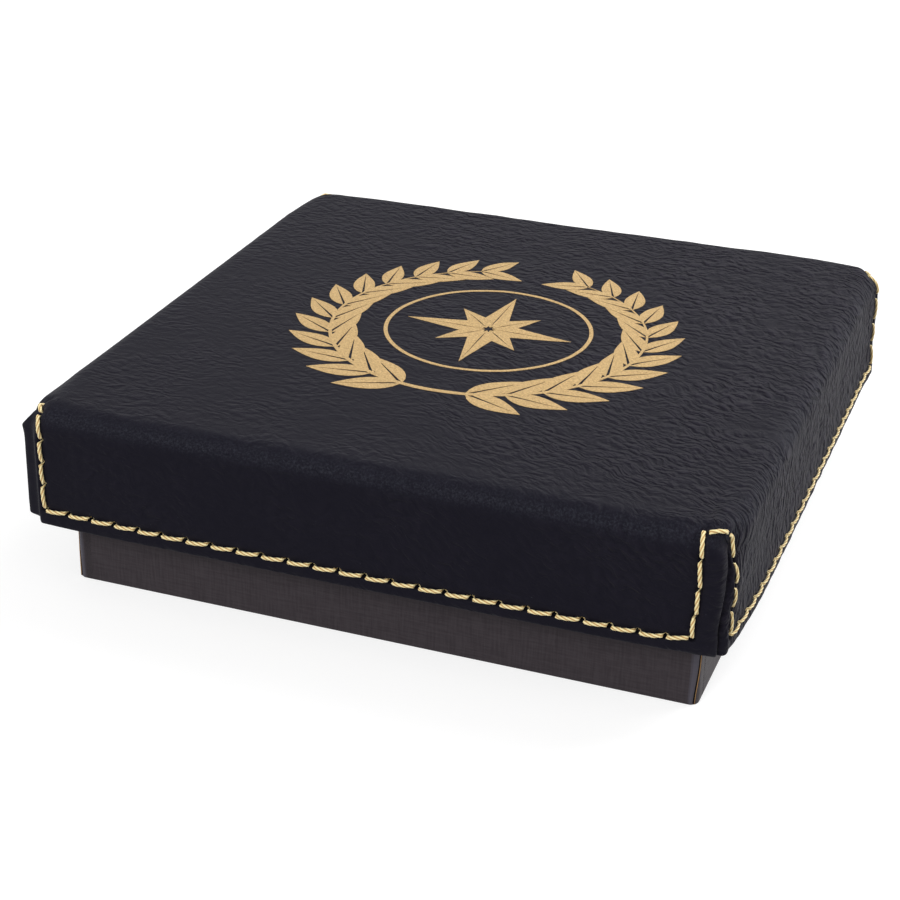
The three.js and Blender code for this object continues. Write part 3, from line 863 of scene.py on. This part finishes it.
def grain_and_light_share(blank):
    """How strongly the grain shows, in relief and in colour: strong at the back and right, faint at the front
    and left. In colour this is also painted light, the leather painted lighter towards the back-right and on
    the right flap, where light falls.
    """
    across, along = blank[:, 0] / lid_half, blank[:, 1] / lid_half
    share = 0.30 + 0.65 * ramp(across + 0.8 * along, -1.0, 1.9)
    right_flap = ramp(across, 0.94, 0.08)
    return share + 0.85 * right_flap + 0.15 * ramp(along, 0.3, 0.6) * (1 - right_flap)


def from_boards(points):
    """How far each point is from the boards that the leather lies on."""
    aside = np.abs(points[:, :2]) - (board_half - board_corner)
    side = np.hypot(*np.maximum(aside, 0).T) + np.minimum(aside.max(1), 0) - board_corner
    up = np.abs(points[:, 2] - board_middle) - board_rise
    return np.hypot(np.maximum(side, 0), np.maximum(up, 0)) + np.minimum(np.maximum(side, up), 0)


def point_normals(points, faces):
    mesh = bpy.data.meshes.new("bare")
    mesh.from_pydata([tuple(p) for p in points], [], faces)
    normals = np.zeros(len(points) * 3)
    mesh.vertices.foreach_get("normal", normals)
    bpy.data.meshes.remove(mesh)
    return normals.reshape(-1, 3)


def cover_leather(material):
    points, faces, blank, outside = cover_skin()
    skin = [face for face in faces if max(face) < outside]
    tree = BVHTree.FromPolygons([tuple(p) for p in points], skin)
    line, line_normals, phase = stitch_line(tree)
    points = sat(points)
    line = sat(line)
    line = line + line_normals * np.maximum(thinnest_leather - from_boards(line), 0)[:, None]
    normals = point_normals(points, faces)

    face_points = points[:outside]
    face_blank = blank[:outside]
    distance, number = nearest(face_points, line, 3.2 * mm)
    near_hole = hill(np.minimum(phase, 1 - phase)[number], 0, 0.10)
    pressed = hill(distance, 0, press_reach) * (0.75 + 0.45 * near_hole)
    hole_distance = nearest(face_points, line[phase == 0], 1.5 * mm)[0]
    holed = hill(hole_distance, 0, hole_radius, 4)
    weight = grain_and_light_share(face_blank)
    height = -press_depth * pressed + swell * hill(distance, swell_reach, swell_width) - hole_depth * holed
    height += crease_depth * crease_height(face_blank) * weight * ramp(distance, 0.5 * mm, 2.5 * mm)
    height = np.maximum(height, thinnest_leather - from_boards(face_points))
    points[:outside] += normals[:outside] * height[:, None]

    fold = hill(points[:outside, 2], lid_top - 0.45 * fold_radius, 1.1 * mm)
    on_edge = np.abs(face_blank[:, :2]).max(1) > lid_half - fold_radius - 0.5 * mm
    # These layers carry painted light as well as grain: painted shade in the needle holes, a painted
    # highlight along the rounded folds, and a grain share that also paints the leather lighter at the
    # back-right and on the right flap.
    layers = {
        "hole": np.clip(holed * 1.3, 0, 1),
        "crease_and_light": weight * (0.35 + 0.65 * smoothstep(distance / (1.6 * mm))),
        "round_edge_highlight": fold * on_edge,
    }
    hidden = np.zeros(len(points) - outside)
    layers = {name: np.concatenate([values, hidden]) for name, values in layers.items()}
    piece = make_piece("cover_leather", points, faces, material, {"blank": blank, **layers})
    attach(piece, "lid")
    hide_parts("leatherette_cover")
    return piece, (line, line_normals, phase)


# Trees of nodes that grow a mesh
def geometry_tree(name, sizes, start, result):
    """A new tree with its sockets: a start, sizes, a finish, and what it gives."""
    tree = bpy.data.node_groups.new(name, "GeometryNodeTree")
    tree.interface.new_socket(start, in_out="INPUT", socket_type="NodeSocketGeometry")
    for size in sizes:
        tree.interface.new_socket(size, in_out="INPUT", socket_type="NodeSocketFloat")
    tree.interface.new_socket("Finish", in_out="INPUT", socket_type="NodeSocketMaterial")
    tree.interface.new_socket(result, in_out="OUTPUT", socket_type="NodeSocketGeometry")
    nodes = Nodes(tree)
    return nodes, nodes.put("NodeGroupInput")


def grown(name, source, nodes, values):
    """The mesh that a tree of nodes grows from a source object, as a plain object. The source goes."""
    modifier = source.modifiers.new(name, "NODES")
    modifier.node_group = nodes.tree
    for item in nodes.tree.interface.items_tree:
        if item.item_type == "SOCKET" and item.in_out == "INPUT" and item.name in values:
            modifier[item.identifier] = values[item.name]
    evaluated = source.evaluated_get(bpy.context.evaluated_depsgraph_get())
    mesh = bpy.data.meshes.new_from_object(evaluated)
    mesh.name = name
    source.modifiers.remove(modifier)
    bpy.data.objects.remove(source)
    return add_object(name, mesh)


# Thread: a tree of nodes lifts the line into stitches and lays the three-ply thread along it
stitch_sizes = {"Thread Radius": 0.29 * mm, "Crown": 0.28 * mm, "Dip": 1.0 * mm, "Slant": -0.14 * mm}
thread_lay = 2.0 * mm
plies = 3
ply_points = 5
ply_centre = 0.42
ply_radius = 0.58


def thread_tree():
    nodes, given = geometry_tree("sewn_thread", [*stitch_sizes, "Turns"], "Line", "Thread")

    def named(name, kind="FLOAT"):
        return nodes.put("GeometryNodeInputNamedAttribute", {"Name": name}, data_type=kind)

    phase = named("phase")
    arc = nodes.calc("SINE", phase * math.pi)
    ends = 1.0 - arc.smooth(0.27, 0.39)
    lift = arc * given["Crown"] - ends * given["Dip"]
    lean = (1.0 - phase * 2.0) * given["Slant"]
    up = named("outward", "FLOAT_VECTOR").scaled(lift)
    offset = nodes.vector("ADD", up, named("aside", "FLOAT_VECTOR").scaled(lean))
    moved = nodes.add("GeometryNodeSetPosition", Geometry=given["Line"], Offset=offset)
    curve = nodes.add("GeometryNodeMeshToCurve", Mesh=moved)
    tilt = nodes.add("GeometryNodeSplineParameter")["Factor"] * given["Turns"] * (2 * math.pi)
    tilted = nodes.add("GeometryNodeSetCurveTilt", Curve=curve, Tilt=tilt)
    thick = given["Thread Radius"] * (1.0 - ends * 0.45) * named("drawn")
    round_curve = nodes.add("GeometryNodeSetCurveRadius", Curve=tilted, Radius=thick)

    # The section: three plies side by side, as far out as each reaches
    circle = nodes.add("GeometryNodeCurvePrimitiveCircle", Resolution=plies * ply_points, Radius=1.0)
    around = nodes.add("GeometryNodeInputIndex") / float(ply_points)
    from_crest = nodes.calc("PINGPONG", around, 0.5) * (2 * math.pi / plies)
    sine = nodes.calc("SINE", from_crest) * ply_centre
    rest = nodes.calc("SQRT", ply_radius**2 - sine * sine)
    reach = nodes.calc("COSINE", from_crest) * ply_centre + rest
    ply = nodes.add("GeometryNodeInputPosition").scaled(reach)
    section = nodes.add("GeometryNodeSetPosition", Geometry=circle, Position=ply)
    # The crest share lets the thread's material paint shade into the grooves between the plies.
    marked = nodes.put("GeometryNodeStoreNamedAttribute", {
        "Geometry": section,
        "Name": "crest",
        "Value": reach.smooth(0.70, 0.98),
    }, data_type="FLOAT", domain="POINT")
    radius = nodes.add("GeometryNodeInputRadius")
    sweep = nodes.add("GeometryNodeCurveToMesh", Curve=round_curve, Profile_Curve=marked, Scale=radius)
    real = nodes.add("GeometryNodeRealizeInstances", Geometry=sweep)
    smooth = nodes.add("GeometryNodeSetShadeSmooth", Geometry=real)
    finished = nodes.add("GeometryNodeSetMaterial", Geometry=smooth, Material=given["Finish"])
    nodes.add("NodeGroupOutput", Thread=finished)
    return nodes


def stitch_thread(material, sewn):
    """The thread along the whole line, thinner on the right side, where it is pulled tighter."""
    line, outward, phase = sewn
    count = len(line)
    ahead = np.roll(line, -1, axis=0) - np.roll(line, 1, axis=0)
    aside = np.cross(outward, ahead)
    aside /= np.linalg.norm(aside, axis=1)[:, None]
    drawn = 1 - 0.26 * ramp(line[:, 0], 48.8 * mm, 1.2 * mm)
    mesh = bpy.data.meshes.new("stitch_line")
    mesh.from_pydata([tuple(p) for p in line], [(i, (i + 1) % count) for i in range(count)], [])
    for name, values in {"phase": phase, "outward": outward, "aside": aside, "drawn": drawn}.items():
        add_layer(mesh, name, values)
    source = add_object("stitch_line", mesh)
    length = np.linalg.norm(np.diff(line, axis=0, append=line[:1]), axis=1).sum()
    values = {**stitch_sizes, "Turns": round(length / thread_lay), "Finish": material}
    piece = grown("stitch_thread", source, thread_tree(), values)
    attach(piece, "lid")
    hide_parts("cover_thread")
    return piece


# Base wrap: one sheet turns from the front round its corners, under side panels that end in a cut edge
wrap_radius = 1.1 * mm
paper = 0.2 * mm
turn_in_half = -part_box("base_floor_paper")[0].x + paper
turn_in_depth = 12 * mm
panel_rise = 0.15 * mm
gap_depth = 0.17 * mm
corner_zone = 3.2 * mm
side_columns = 88
turn_columns = 10
panel_columns = 6
seam_low = 0.85 * mm
seam_high = 1.42 * mm
seam_bend = 7 * mm
bottom_edge = 0.18 * mm
rim_edge = 0.55 * mm


def corner_steps(seam):
    """Places along the sheet, each with how far it stands out: round the turn, in the gap, on the panel."""
    steps = [(s, 0.0) for s in np.linspace(-0.2 * mm, seam - 0.22 * mm, turn_columns)]
    steps += [(seam - 0.16 * mm, -gap_depth), (seam - 0.03 * mm, -gap_depth)]
    steps += [(seam, share * panel_rise) for share in (0.3, 0.4, 0.9)]
    steps += [(seam + 0.05 * mm, panel_rise)]
    return steps + [(s, panel_rise) for s in np.linspace(seam + 0.2 * mm, corner_zone, panel_columns)]


def wrap_corner(half, radius, seam, proud):
    """Points round a corner from its front to its side, and how far round the sheet each one is."""
    steps = corner_steps(seam)
    points = []
    for s, out in steps:
        reach = radius + out * proud
        angle = min(max(s / radius, 0), quarter)
        x = half - radius + min(s, 0) + reach * math.sin(angle)
        y = -half + radius - reach * math.cos(angle) + max(s - radius * quarter, 0)
        points.append((x, y))
    return np.array(points), np.array([s for s, out in steps])


def wrap_outline(half, radius, z, proud):
    """A ring of the wrap and its places along the sheet: front, corner, side, corner, and half a turn on."""
    seam = seam_low + (seam_high - seam_low) * smoothstep(z / seam_bend)
    corner, along = wrap_corner(half, radius, seam, proud)
    front = np.linspace(-corner[0, 0], corner[0, 0], side_columns + 2)[1:-1]
    side = np.linspace(corner[-1, 1], -corner[-1, 1], side_columns + 2)[1:-1]
    front_points = np.stack([front, np.full(side_columns, -half)], -1)
    side_points = np.stack([np.full(side_columns, corner[-1, 0]), side], -1)
    mirrored = (corner * (1, -1))[::-1]
    points = np.concatenate([front_points, corner, side_points, mirrored])
    spread_out = np.concatenate([front, corner[0, 0] + along, side, -corner[::-1, 1]])
    points = np.concatenate([points, -points])
    ring_points = np.column_stack([points, np.full(len(points), z)])
    return ring_points, np.concatenate([spread_out, spread_out])


def marked_columns(first, last):
    """1 for some columns of every corner, counted from the seam's gap on, and 0 elsewhere."""
    corner = np.zeros(len(corner_steps(seam_low)))
    corner[turn_columns + first: turn_columns + last] = 1
    half_ring = np.concatenate([np.zeros(side_columns), corner, np.zeros(side_columns), corner[::-1]])
    return np.concatenate([half_ring, half_ring])


def wrap_profile():
    """Half widths and heights: from under the middle out, up the wall, over the rim, down inside and back.

    With it go the numbers of the wall's first point and of the first beyond the wall.
    """
    profile = [(0.3 * base_half, 0.0), (0.7 * base_half, 0.0), (base_half - bottom_edge, 0.0)]
    for a in (0.4, 0.8, 1.2):
        profile.append((base_half - bottom_edge * (1 - math.sin(a)), bottom_edge * (1 - math.cos(a))))
    walls = len(profile)
    profile += [(base_half, z) for z in np.linspace(bottom_edge, rim_top - rim_edge, 40)]
    rims = len(profile)
    for a in (0.5, 1.0, 1.57):
        profile.append((base_half - rim_edge * (1 - math.cos(a)), rim_top - rim_edge * (1 - math.sin(a))))
    inner = turn_in_half - paper
    for a in (0.0, 0.55, 1.1):
        profile.append((inner + rim_edge * (1 - math.sin(a)), rim_top - rim_edge * (1 - math.cos(a))))
    profile += [(inner, z) for z in np.linspace(rim_top - rim_edge, rim_top - turn_in_depth, 12)]
    profile += [(turn_in_half, rim_top - turn_in_depth), (turn_in_half, rim_top - 2 * paper)]
    profile += [(base_half - paper, z) for z in (rim_top - 2 * paper, paper)]
    return profile + [(0.3 * base_half, paper)], walls, rims


def base_linen_wrap(material):
    profile, walls, rims = wrap_profile()
    # The cut edge is the paper's own raw core; the dark in the seam's gap is painted shadow, and the light
    # strip round the corner is a painted highlight.
    marks = {
        "cut_edge": marked_columns(3, 5),
        "gap": marked_columns(0, 3),
        "round_edge_highlight": 0.5 * marked_columns(4 - turn_columns, 0) + 0.5 * marked_columns(2 - turn_columns, 0),
    }
    rings = []
    sheet = []
    layers = {name: [] for name in marks}
    reach = 0.0
    before = profile[0]
    for number, (half, z) in enumerate(profile):
        reach += math.dist(before, (half, z))
        before = (half, z)
        radius = min(max(0.2 * mm, wrap_radius - (base_half - half)), half / 2)
        wall = walls <= number < rims
        made, along = wrap_outline(half, radius, z, float(wall))
        rings.append(made)
        sheet.append(np.stack([along, np.full(len(made), reach), np.zeros(len(made))], -1))
        for name, mark in marks.items():
            layers[name].append(mark * wall)
    rings = np.array(rings)
    rows, columns = rings.shape[:2]
    points = list(rings.reshape(-1, 3)) + [(0, 0, 0), (0, 0, paper)]
    faces = band_faces(rows, columns)
    faces += fan_faces(rows * columns, list(range(columns)), False)
    faces += fan_faces(rows * columns + 1, [(rows - 1) * columns + c for c in range(columns)], True)
    sheet = np.concatenate([np.array(sheet).reshape(-1, 3), np.zeros((2, 3))])
    layers = {name: np.append(np.ravel(values), [0, 0]) for name, values in layers.items()}
    piece = make_piece("base_linen_wrap", points, faces, material, {"sheet": sheet, **layers})
    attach(piece, "base")
    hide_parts("base_wrap")
    return piece


# Ornament: a laurel wreath round an eight-pointed star, grown flat by trees of nodes and then laid on the top
ornament_sizes = {
    "Wreath Radius": 24 * mm,
    "Leaf Length": 10 * mm,
    "Leaf Width": 1.9 * mm,
    "Star Radius": 12.5 * mm,
    "Ring Radius": 15.9 * mm,
    "Ring Width": 0.6 * mm,
}
leaves_per_branch = 12
leaf_lean = math.radians(34)
leaf_start = math.radians(-78)
leaf_sweep = math.radians(146)
leaf_taper = 0.25
stem_start = math.radians(-97)
stem_sweep = math.radians(165)
stem_width = 0.75 * mm
gold_rise = 0.045 * mm
gold_sink = 0.04 * mm
merge_reach = 0.001 * mm
star_hole = 0.6 * mm
short_ray = 0.66
ray_width = 0.17
ray_waist = 0.24


def vector_of(nodes, x, y, z):
    return nodes.add("ShaderNodeCombineXYZ", X=x, Y=y, Z=z)


def on_circle(nodes, angle, radius, side=1):
    """A flat place at an angle, mirrored for the left side."""
    x = nodes.calc("COSINE", angle) * radius * float(side)
    y = nodes.calc("SINE", angle) * radius
    return vector_of(nodes, x, y, 0.0)


def unit_grid(nodes, steps_x, steps_y):
    """A flat grid, with each point's share along x and along y."""
    counts = {"Vertices_X": steps_x + 1, "Vertices_Y": steps_y + 1}
    grid = nodes.add("GeometryNodeMeshGrid", Size_X=1.0, Size_Y=1.0, **counts)
    place = nodes.add("ShaderNodeSeparateXYZ", Vector=nodes.add("GeometryNodeInputPosition"))
    return grid, place["X"] + 0.5, place["Y"] + 0.5


def joined(nodes, *parts):
    node = nodes.add("GeometryNodeJoinGeometry")
    for part in parts:
        nodes.tree.links.new(part.socket, node.socket.node.inputs[0])
    return node


def shaped(nodes, grid, place, side=1):
    """A grid with its points moved, and turned over where that mirrors it."""
    shape = nodes.add("GeometryNodeSetPosition", Geometry=grid, Position=place)
    return nodes.add("GeometryNodeFlipFaces", Mesh=shape) if side < 0 else shape


def placed(nodes, count, shape, place, turn, size):
    """Copies of a shape at points whose place, turn and size follow from their number."""
    points = nodes.add("GeometryNodePoints", Count=count, Position=place)
    pose = {"Rotation": vector_of(nodes, 0.0, 0.0, turn), "Scale": vector_of(nodes, size, size, 1.0)}
    return nodes.add("GeometryNodeInstanceOnPoints", Points=points, Instance=shape, **pose)


def half_leaf(nodes, length, width, side):
    """Half of a pointed leaf beside its midrib."""
    grid, along, across = unit_grid(nodes, 9, 2)
    belly = nodes.calc("SINE", nodes.calc("POWER", along, 0.8) * math.pi) * width
    rib = (1.0 - along) * width * 0.13
    reach = rib + across * nodes.calc("MAXIMUM", belly, 0.0)
    return shaped(nodes, grid, vector_of(nodes, along * length, reach * float(side), 0.0), side)


def branch(nodes, given, side):
    """One branch of the wreath: leaves in pairs along a curved stem, smaller towards its tip."""
    halves = [half_leaf(nodes, given["Leaf Length"], given["Leaf Width"], half) for half in (1, -1)]
    leaf = joined(nodes, *halves)
    share = nodes.add("GeometryNodeInputIndex") / float(leaves_per_branch - 1)
    angle = leaf_start + share * leaf_sweep
    place = on_circle(nodes, angle, given["Wreath Radius"], side)
    rows = []
    for lean in (-leaf_lean, leaf_lean):
        turn = angle + (quarter + lean)
        if side < 0:
            turn = math.pi - turn
        rows.append(placed(nodes, leaves_per_branch, leaf, place, turn, 1.0 - share * leaf_taper))

    grid, along, across = unit_grid(nodes, 48, 1)
    bow = stem_start + along * stem_sweep
    away = (0.5 - across) * ((1.15 - along) * stem_width)
    stem = shaped(nodes, grid, on_circle(nodes, bow, given["Wreath Radius"] + away, side), side)
    return joined(nodes, joined(nodes, *rows), stem)


def ring_strip(nodes, radius, width, steps):
    grid, along, across = unit_grid(nodes, steps, 1)
    shape = shaped(nodes, grid, on_circle(nodes, along * (2 * math.pi), radius - across * width))
    return nodes.add("GeometryNodeMergeByDistance", Geometry=shape, Distance=merge_reach)


def half_ray(nodes, length, width, side):
    """Half of a star's ray: a slim triangle from the middle, beside the ray's ridge."""
    grid, along, across = unit_grid(nodes, 12, 3)
    belly = nodes.calc("MINIMUM", along / ray_waist, (1.0 - along) / (1.0 - ray_waist)) * width
    reach = belly * 0.05 + across * (belly * 0.9)
    place = vector_of(nodes, star_hole + along * length, reach * float(side), 0.0)
    return shaped(nodes, grid, place, side)


def rays(nodes, length, width, start):
    ray = joined(nodes, *[half_ray(nodes, length, width, side) for side in (1, -1)])
    angle = start + nodes.add("GeometryNodeInputIndex") * quarter
    return placed(nodes, 4, ray, vector_of(nodes, 0.0, 0.0, 0.0), angle, 1.0)


def ornament_tree():
    nodes, given = geometry_tree("engraved_wreath", ornament_sizes, "Start", "Shape")
    width = given["Star Radius"] * ray_width
    flat = joined(
        nodes,
        branch(nodes, given, 1),
        branch(nodes, given, -1),
        ring_strip(nodes, given["Ring Radius"], given["Ring Width"], 160),
        rays(nodes, given["Star Radius"], width, quarter),
        rays(nodes, given["Star Radius"] * short_ray, width, quarter / 2),
    )
    real = nodes.add("GeometryNodeRealizeInstances", Geometry=flat)
    lift = {"Offset": (0, 0, 1), "Offset_Scale": 1.0, "Individual": False}
    raised = nodes.add("GeometryNodeExtrudeMesh", Mesh=real, **lift)
    closed = joined(nodes, raised, nodes.add("GeometryNodeFlipFaces", Mesh=real))
    closed = nodes.add("GeometryNodeMergeByDistance", Geometry=closed, Distance=merge_reach)
    finished = nodes.add("GeometryNodeSetMaterial", Geometry=closed, Material=given["Finish"])
    nodes.add("NodeGroupOutput", Shape=finished)
    return nodes


def gold_ornament(material, leather):
    """The wreath's points lie just over and just under the leather, wherever the leather is there."""
    source = add_object("ornament_start", bpy.data.meshes.new("ornament_start"))
    piece = grown("gold_ornament", source, ornament_tree(), {**ornament_sizes, "Finish": material})
    work = bmesh.new()
    work.from_mesh(leather.data)
    tree = BVHTree.FromBMesh(work)
    work.free()
    for vertex in piece.data.vertices:
        x, y, z = vertex.co
        found = tree.ray_cast(Vector((x, y, lid_top + 2 * mm)), Vector((0, 0, -1)))[0]
        vertex.co.z = found.z + (gold_rise if z > 0.5 else -gold_sink)
    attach(piece, "lid")
    return piece


# Insert: velour over the foam, turned down outside and into the well
insert_edge = 1.2 * mm
well_edge = 1.5 * mm
velour_thickness = 0.8 * mm
well_radius = 35.5 * mm
ring_notch_radius = 7.5 * mm
ring_notch_reach = 3 * mm
thumb_notch_radius = 9 * mm
thumb_notch_reach = 6.5 * mm
insert_columns = 720
insert_wall_rows = 9
insert_sag = 0.12 * mm
insert_corner = 1.6 * mm
insert_inner_corner = 1.0 * mm
insert_pile = 0.05 * mm
pad_pile = 0.04 * mm
pad_columns = 360
pad_edge = 0.5 * mm
pad_crown = 0.08 * mm
pad_clearance = 0.12 * mm


def disc_reach(angle, centre, radius):
    """How far out a disc reaches from the middle of the box, in each direction that meets it."""
    along = centre[0] * np.cos(angle) + centre[1] * np.sin(angle)
    beside = centre[0] * np.sin(angle) - centre[1] * np.cos(angle)
    inside = radius**2 - beside**2
    return np.where((inside > 0) & (along > 0), along + np.sqrt(np.maximum(inside, 0)), 0)


def well_reach(angle, grow=0.0):
    """How far out the well reaches in each direction, with soft edges between its round and its notches."""
    ring_centre = (0, well_radius + ring_notch_reach - ring_notch_radius)
    thumb = (well_radius + thumb_notch_reach - thumb_notch_radius) / math.sqrt(2)
    reaches = [
        np.full(len(angle), well_radius + grow),
        disc_reach(angle, ring_centre, ring_notch_radius + grow),
        disc_reach(angle, (thumb, -thumb), thumb_notch_radius + grow),
        disc_reach(angle, (-thumb, -thumb), thumb_notch_radius + grow),
    ]
    soft = 0.25 * mm
    total = sum(np.exp((reach - well_radius) / soft) for reach in reaches)
    return well_radius + soft * np.log(total) - soft * 0.2


def square_reach(angle, half, radius):
    """How far out a square with round corners reaches in each direction."""
    fold = np.abs((angle + quarter / 2) % quarter - quarter / 2)
    flat = half / np.cos(fold)
    centre = (half - radius) * math.sqrt(2)
    beside = np.abs(quarter / 2 - fold)
    inside = np.maximum(radius**2 - (centre * np.sin(beside)) ** 2, 0)
    round_reach = centre * np.cos(beside) + np.sqrt(inside)
    on_corner = half * np.tan(fold) > half - radius
    return np.where(on_corner, round_reach, flat)


def ring_at(angle, reach, z):
    return np.stack([reach * np.cos(angle), reach * np.sin(angle), np.broadcast_to(z, angle.shape)], -1)


def full_circle(columns):
    return np.arange(columns) * 2 * math.pi / columns


def sink_pile(points, depth):
    """Sets points down by an uneven depth, as short pile lies."""
    pile = np.array([noise.noise(Vector(p) * 260) + 0.6 * noise.noise(Vector(p) * 900) for p in points])
    points[:, 2] -= depth * (1 + pile)


def insert_velour(material):
    angle = full_circle(insert_columns)
    outer = square_reach(angle, facing_half, insert_corner)
    inner = well_reach(angle)
    outer_inside = square_reach(angle, facing_half - velour_thickness, insert_inner_corner)
    inner_inside = well_reach(angle, velour_thickness)

    def edge_ring(reach, edge, a):
        return ring_at(angle, reach + edge * (1 - math.cos(a)), facing_top - abs(edge) * (1 - math.sin(a)))

    wall = np.linspace(facing_bottom, facing_top - insert_edge, insert_wall_rows)
    rings = [ring_at(angle, outer, z) for z in wall]
    rings += [edge_ring(outer, -insert_edge, a) for a in np.linspace(0, quarter, 7)[1:]]
    for share in np.linspace(0, 1, 22)[1:-1]:
        reach = (outer - insert_edge) * (1 - share) + (inner + well_edge) * share
        rings.append(ring_at(angle, reach, facing_top - insert_sag * math.sin(math.pi * share)))
    rings += [edge_ring(inner, well_edge, a) for a in np.linspace(quarter, 0, 8)]
    well = np.linspace(facing_top - well_edge, facing_bottom, 12)[1:]
    rings += [ring_at(angle, inner, z) for z in well]
    shown = len(rings)
    ceiling = facing_top - velour_thickness
    rings += [ring_at(angle, inner_inside, z) for z in (facing_bottom, ceiling)]
    rings += [ring_at(angle, outer_inside, z) for z in (ceiling, facing_bottom)]
    rings.append(rings[0])
    points = np.concatenate(rings)
    sink_pile(points[insert_wall_rows * insert_columns:(shown - len(well)) * insert_columns], insert_pile)
    piece = make_piece("insert_velour", points, band_faces(len(rings), insert_columns), material)
    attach(piece, "base")
    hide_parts("insert_facing")
    return piece


def well_pad(material):
    """A velour pad on the well's floor, its edge rounded and its middle a little crowned."""
    angle = full_circle(pad_columns)
    reach = well_reach(angle, -pad_clearance)
    rings = [ring_at(angle, reach, pad_low.z)]
    for a in np.linspace(0, quarter, 5):
        height = pad_high.z - pad_edge * (1 - math.sin(a)) - pad_crown
        rings.append(ring_at(angle, reach - pad_edge * (1 - math.cos(a)), height))
    rim_rings = len(rings)
    for share in np.linspace(0, 0.96, 34)[1:]:
        crown = pad_crown * (1 - smoothstep((1 - share) * 2.5 - 1.5))
        height = pad_high.z - pad_crown + crown * min(1, 6 * share)
        rings.append(ring_at(angle, (reach - pad_edge) * (1 - share), height))
    points = np.concatenate(rings)
    sink_pile(points[rim_rings * pad_columns:], pad_pile)
    count = len(points)
    points = np.concatenate([points, [[0, 0, pad_high.z - pad_pile], [0, 0, pad_low.z]]])
    faces = band_faces(len(rings), pad_columns)
    faces += fan_faces(count, [count - pad_columns + c for c in range(pad_columns)], True)
    faces += fan_faces(count + 1, list(range(pad_columns)), False)
    piece = make_piece("well_pad", points, faces, material)
    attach(piece, "base")
    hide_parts("well_floor_pad")
    return piece


# Floor and light
floor_half = 3.0
floor_glow = 0.66
world_glow = 0.35
lamp_target = Vector((0, 0, 0.01))
lamps = {
    "key_lamp": ((0.35, 0.45, 0.55), (0.5, 0.5), 5.1),
    "side_lamp": ((0.65, -0.10, 0.30), (0.4, 0.4), 0.8),
    "front_lamp": ((-0.25, -0.75, 0.55), (0.6, 0.4), 5.4),
}


def seen(nodes):
    """1 where the camera looks, directly or by way of something shiny or clear, and 0 elsewhere."""
    path = nodes.put("ShaderNodeLightPath")
    shiny = nodes.calc("MAXIMUM", path["Is Glossy Ray"], path["Is Transmission Ray"])
    return nodes.calc("MAXIMUM", path["Is Camera Ray"], shiny)


def make_floor():
    mesh = bpy.data.meshes.new("floor")
    corners = [(x * floor_half, y * floor_half, 0) for x, y in ((-1, -1), (1, -1), (1, 1), (-1, 1))]
    mesh.from_pydata(corners, [], [(0, 1, 2, 3)])
    floor = add_object("floor", mesh)
    finish = Finish("floor", Roughness=0.9, Base_Color=grey(0.45))
    glow = finish.add("ShaderNodeEmission", Color=grey(1.0), Strength=seen(finish) * floor_glow)
    both = finish.put("ShaderNodeAddShader", {0: Wire(finish, finish.shader.outputs[0]), 1: glow})
    finish.feed(finish.tree.nodes["Material Output"].inputs["Surface"], both)
    mesh.materials.append(finish.material)


def make_light():
    world = bpy.data.worlds.new("studio")
    bpy.context.scene.world = world
    world.use_nodes = True
    nodes = Nodes(world.node_tree)
    back = world.node_tree.nodes["Background"]
    nodes.feed(back.inputs["Color"], grey(1.0))
    nodes.feed(back.inputs["Strength"], world_glow + seen(nodes) * (1 - world_glow))
    for name, (place, size, power) in lamps.items():
        data = bpy.data.lights.new(name, "AREA")
        data.shape = "RECTANGLE"
        data.size = size[0]
        data.size_y = size[1]
        data.energy = power
        lamp = add_object(name, data)
        lamp.location = place
        lamp.rotation_euler = (lamp_target - Vector(place)).to_track_quat("-Z", "Y").to_euler()


def dress(finish, *nodes):
    for name in nodes:
        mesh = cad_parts[name].data
        mesh.materials.clear()
        mesh.materials.append(finish)


scene = bpy.context.scene
scene.view_settings.view_transform = "Standard"
make_camera()
make_light()
make_floor()

leather_finish = leatherette()
linen_finish = linen_paper()
board_finish = greyboard()
tape_finish = gummed_tape()
paper_finish = black_paper()
foam_finish = black_foam()
velour_finish = velour()

cover, sewn_line = cover_leather(leather_finish)
stitch_thread(golden_thread(), sewn_line)
gold_ornament(engraved_gold(), cover)
base_linen_wrap(linen_finish)
insert_velour(velour_finish)
well_pad(velour_finish)

sides = ("front", "right", "back", "left")
corners = ("front_right", "back_right", "back_left", "front_left")
dress(board_finish, "base_tray", "lid_tray", *[f"flap_card_{side}" for side in sides])
dress(tape_finish, *[f"{body}_corner_stay_{corner}" for body in ("base", "lid") for corner in corners])
dress(paper_finish, "base_floor_paper", "lid_lining")
dress(foam_finish, "insert_lower_foam", "insert_upper_foam")
